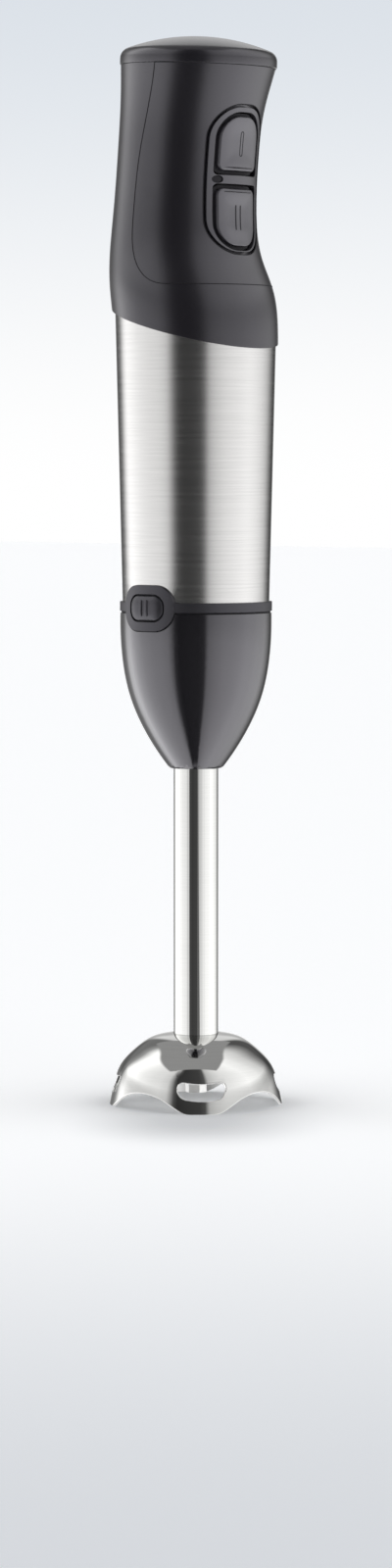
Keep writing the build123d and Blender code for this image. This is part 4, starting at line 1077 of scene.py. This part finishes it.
share = add_node(
    sky, "ShaderNodeMapRange", Value=round_once.outputs[0], From_Min=-pi, From_Max=pi
)
screens = add_node(sky, "ShaderNodeValToRGB", Fac=share.outputs["Result"])
set_tones(screens.color_ramp.elements, screen_stops)
tilt = add_node(
    sky, "ShaderNodeMapRange", Value=parts_of.outputs["Z"], From_Min=-1.0, From_Max=1.0
)
shades = add_node(sky, "ShaderNodeValToRGB", Fac=tilt.outputs["Result"])
set_tones(shades.color_ramp.elements, shade_stops)
shaded = add_node(
    sky, "ShaderNodeVectorMath", multiply, _0=screens.outputs["Color"], _1=shades.outputs["Color"]
)
lit_screens = add_node(
    sky, "ShaderNodeVectorMath", {"operation": "SCALE"}, _0=shaded.outputs[0], Scale=shade_scale
)
print(len(screen_stops), "tones round the blender and", len(shade_stops), "from floor to ceiling")

# %% [markdown]
# A grey card hangs under the ceiling. The crown of the bell looks up at it and mirrors it as one
# quiet patch with soft edges. A ray that looks up meets the ceiling where its sideways and its
# forward parts, divided by its rise, say, so four soft steps draw the card's four edges.

# %% The card on the ceiling
toward = (sin(view_azimuth), -cos(view_azimuth), 0.0)
sideways = (cos(view_azimuth), sin(view_azimuth), 0.0)
card_edges = ((sideways, (-0.64, -0.56, 0.42, 0.48)), (toward, (-1.3, -1.15, 0.38, 0.44)))
card_from = 0.3
card_tone = (0.32, 0.32, 0.32, 1.0)
card = add_node(
    sky, "ShaderNodeMath", {"operation": "GREATER_THAN"}, _0=parts_of.outputs["Z"], _1=card_from
).outputs[0]
for axis, edges in card_edges:
    along = add_node(
        sky, "ShaderNodeVectorMath", {"operation": "DOT_PRODUCT"}, _0=direction, _1=axis
    )
    on_ceiling = add_node(
        sky, "ShaderNodeMath", {"operation": "DIVIDE"},
        _0=along.outputs["Value"], _1=parts_of.outputs["Z"],
    )
    for outer_edge, inner_edge in (edges[:2], edges[:1:-1]):
        side = add_node(
            sky, "ShaderNodeMapRange", soft_step,
            Value=on_ceiling.outputs[0], From_Min=outer_edge, From_Max=inner_edge,
        )
        card = add_node(
            sky, "ShaderNodeMath", multiply, _0=card, _1=side.outputs["Result"]
        ).outputs[0]
print("card's edges", [edges for axis, edges in card_edges])

# %% [markdown]
# Straight up is a bright round lamp and straight down the pale floor, both with soft rims. A ray
# from the camera sees none of this, but a plain backdrop that is white at the floor's height and
# turns a pale blue grey above.

# %% The ceiling, the floor's light and the backdrop
lamp_rim = (0.93, 0.97)
lamp_tone = (0.95, 0.95, 0.95, 1.0)
floor_rim = (-0.965, -0.99)
floor_tone = (0.9, 0.9, 0.9, 1.0)
backdrop_fade = (-0.01, 0.11)
overhead = add_node(
    sky, "ShaderNodeMapRange", soft_step,
    Value=parts_of.outputs["Z"], From_Min=lamp_rim[0], From_Max=lamp_rim[1],
)
ceiling = add_node(
    sky, "ShaderNodeMix", mix_colour,
    _0=overhead.outputs["Result"], _6=lit_screens.outputs[0], _7=lamp_tone,
)
under_ceiling = add_node(
    sky, "ShaderNodeMix", mix_colour, _0=card, _6=ceiling.outputs[2], _7=card_tone
)
below = add_node(
    sky, "ShaderNodeMapRange", soft_step,
    Value=parts_of.outputs["Z"], From_Min=floor_rim[0], From_Max=floor_rim[1],
)
mirrored = add_node(
    sky, "ShaderNodeMix", mix_colour,
    _0=below.outputs["Result"], _6=under_ceiling.outputs[2], _7=floor_tone,
)
height_of_view = add_node(
    sky, "ShaderNodeMapRange", soft_step,
    Value=parts_of.outputs["Z"], From_Min=backdrop_fade[0], From_Max=backdrop_fade[1],
)
backdrop = add_node(
    sky, "ShaderNodeMix", mix_colour,
    _0=height_of_view.outputs["Result"], _6=white, _7=linear("#dbe1e8"),
)
ray = add_node(sky, "ShaderNodeLightPath")
seen = add_node(
    sky, "ShaderNodeMix", mix_colour,
    _0=ray.outputs["Is Camera Ray"], _6=mirrored.outputs[2], _7=backdrop.outputs[2],
)
sky.links.new(seen.outputs[2], sky.nodes["Background"].inputs["Color"])
sky.nodes["Background"].inputs["Strength"].default_value = 1.0
print(len(sky.nodes), "nodes in the studio")

# %% [markdown]
# ## The floor
# A pale sheet runs far back under the blender. It takes the real shadow of the light around it,
# and where it is seen it also glows a little, so that it meets the white backdrop with no line.
# Steel doesn't mirror the sheet itself, because the studio already has a floor for that.

# %% Lay the floor
floor_half = 8.0
sheet = bmesh.new()
bmesh.ops.create_grid(sheet, x_segments=1, y_segments=1, size=floor_half)
floor_mesh = bpy.data.meshes.new("floor")
sheet.to_mesh(floor_mesh)
sheet.free()
floor = bpy.data.objects.new("floor", floor_mesh)
bpy.context.scene.collection.objects.link(floor)
floor.visible_glossy = False
floor_finish, floor_tree, floor_shader, floor_place = new_finish(
    "pale_floor", Base_Color=linear("#f2f4f7"), Roughness=1.0, Specular_IOR_Level=0.0
)
floor.data.materials.append(floor_finish)
print("floor", 2 * floor_half, "m wide")

# %% [markdown]
# The glow is painted greyer where the sheet comes forward, as painted shade out of the light. Far
# in front it turns white again, so that a view from behind meets no dark edge.

# %% The colour of the glow
near_tone = linear("#9ba1aa")
nearness_range = (-0.05, -0.75)
farther_range = (-2.4, -0.8)
toward_front = add_node(
    floor_tree, "ShaderNodeMapping", Vector=floor_place, Rotation=(0, 0, -view_azimuth)
)
floor_parts = add_node(floor_tree, "ShaderNodeSeparateXYZ", Vector=toward_front.outputs["Vector"])
nearness, farther = (
    add_node(
        floor_tree, "ShaderNodeMapRange", soft_step,
        Value=floor_parts.outputs["Y"], From_Min=start, From_Max=end,
    )
    for start, end in (nearness_range, farther_range)
)
# The greyer glow towards the front is painted shade.
painted_falloff = add_node(
    floor_tree, "ShaderNodeMath", multiply, _0=nearness.outputs["Result"], _1=farther.outputs["Result"]
)
glow_colour = add_node(
    floor_tree, "ShaderNodeMix", mix_colour, _0=painted_falloff.outputs[0], _6=white, _7=near_tone
)
floor_tree.links.new(glow_colour.outputs[2], floor_shader.inputs["Emission Color"])
print("grey from", -nearness_range[0], "to", -nearness_range[1], "m in front of the blender")

# %% [markdown]
# The glow fades where the blender covers the sheet, because it would wash out the shadow there,
# and the fading is painted shade: ambient occlusion says how much of the sky a place still sees,
# and an oval of painted shadow in front of the bell deepens the soft shade at its foot.

# %% The strength of the glow
glow_strength = 0.43
cover_distance = 0.1
cover_power = 3.0
patch_middle = (0.0, -0.05, 0.0)
patch_size = (0.038, 0.05, 1.0)
patch_fade = (0.1, 1.4)
patch_darkest = 0.15
covered = add_node(
    floor_tree, "ShaderNodeAmbientOcclusion", {"samples": 16}, Distance=cover_distance
)
open_sky = add_node(
    floor_tree, "ShaderNodeMath", {"operation": "POWER"}, _0=covered.outputs["AO"], _1=cover_power
)
# An oval of painted shadow on the floor's glow, in front of the bell.
patch = add_node(
    floor_tree, "ShaderNodeMapping", {"vector_type": "TEXTURE"},
    Vector=toward_front.outputs["Vector"], Location=patch_middle, Scale=patch_size,
)
patch_reach = add_node(
    floor_tree, "ShaderNodeVectorMath", {"operation": "LENGTH"}, _0=patch.outputs["Vector"]
)
painted_bell_shadow = add_node(
    floor_tree, "ShaderNodeMapRange", soft_step,
    Value=patch_reach.outputs["Value"], From_Min=patch_fade[0], From_Max=patch_fade[1],
    To_Min=patch_darkest,
)
floor_ray = add_node(floor_tree, "ShaderNodeLightPath")
glow = glow_strength
for factor in (open_sky.outputs[0], painted_bell_shadow.outputs["Result"]):
    glow = add_node(floor_tree, "ShaderNodeMath", multiply, _0=factor, _1=glow).outputs[0]
seen_ray = floor_ray.outputs["Is Camera Ray"]
for other_ray in ("Is Glossy Ray", "Is Transmission Ray"):
    seen_ray = add_node(
        floor_tree, "ShaderNodeMath", {"operation": "MAXIMUM"},
        _0=seen_ray, _1=floor_ray.outputs[other_ray],
    ).outputs[0]
seen_glow = add_node(floor_tree, "ShaderNodeMath", multiply, _0=seen_ray, _1=glow)
floor_tree.links.new(seen_glow.outputs[0], floor_shader.inputs["Emission Strength"])
print(len(floor_tree.nodes), "nodes in the floor's finish")
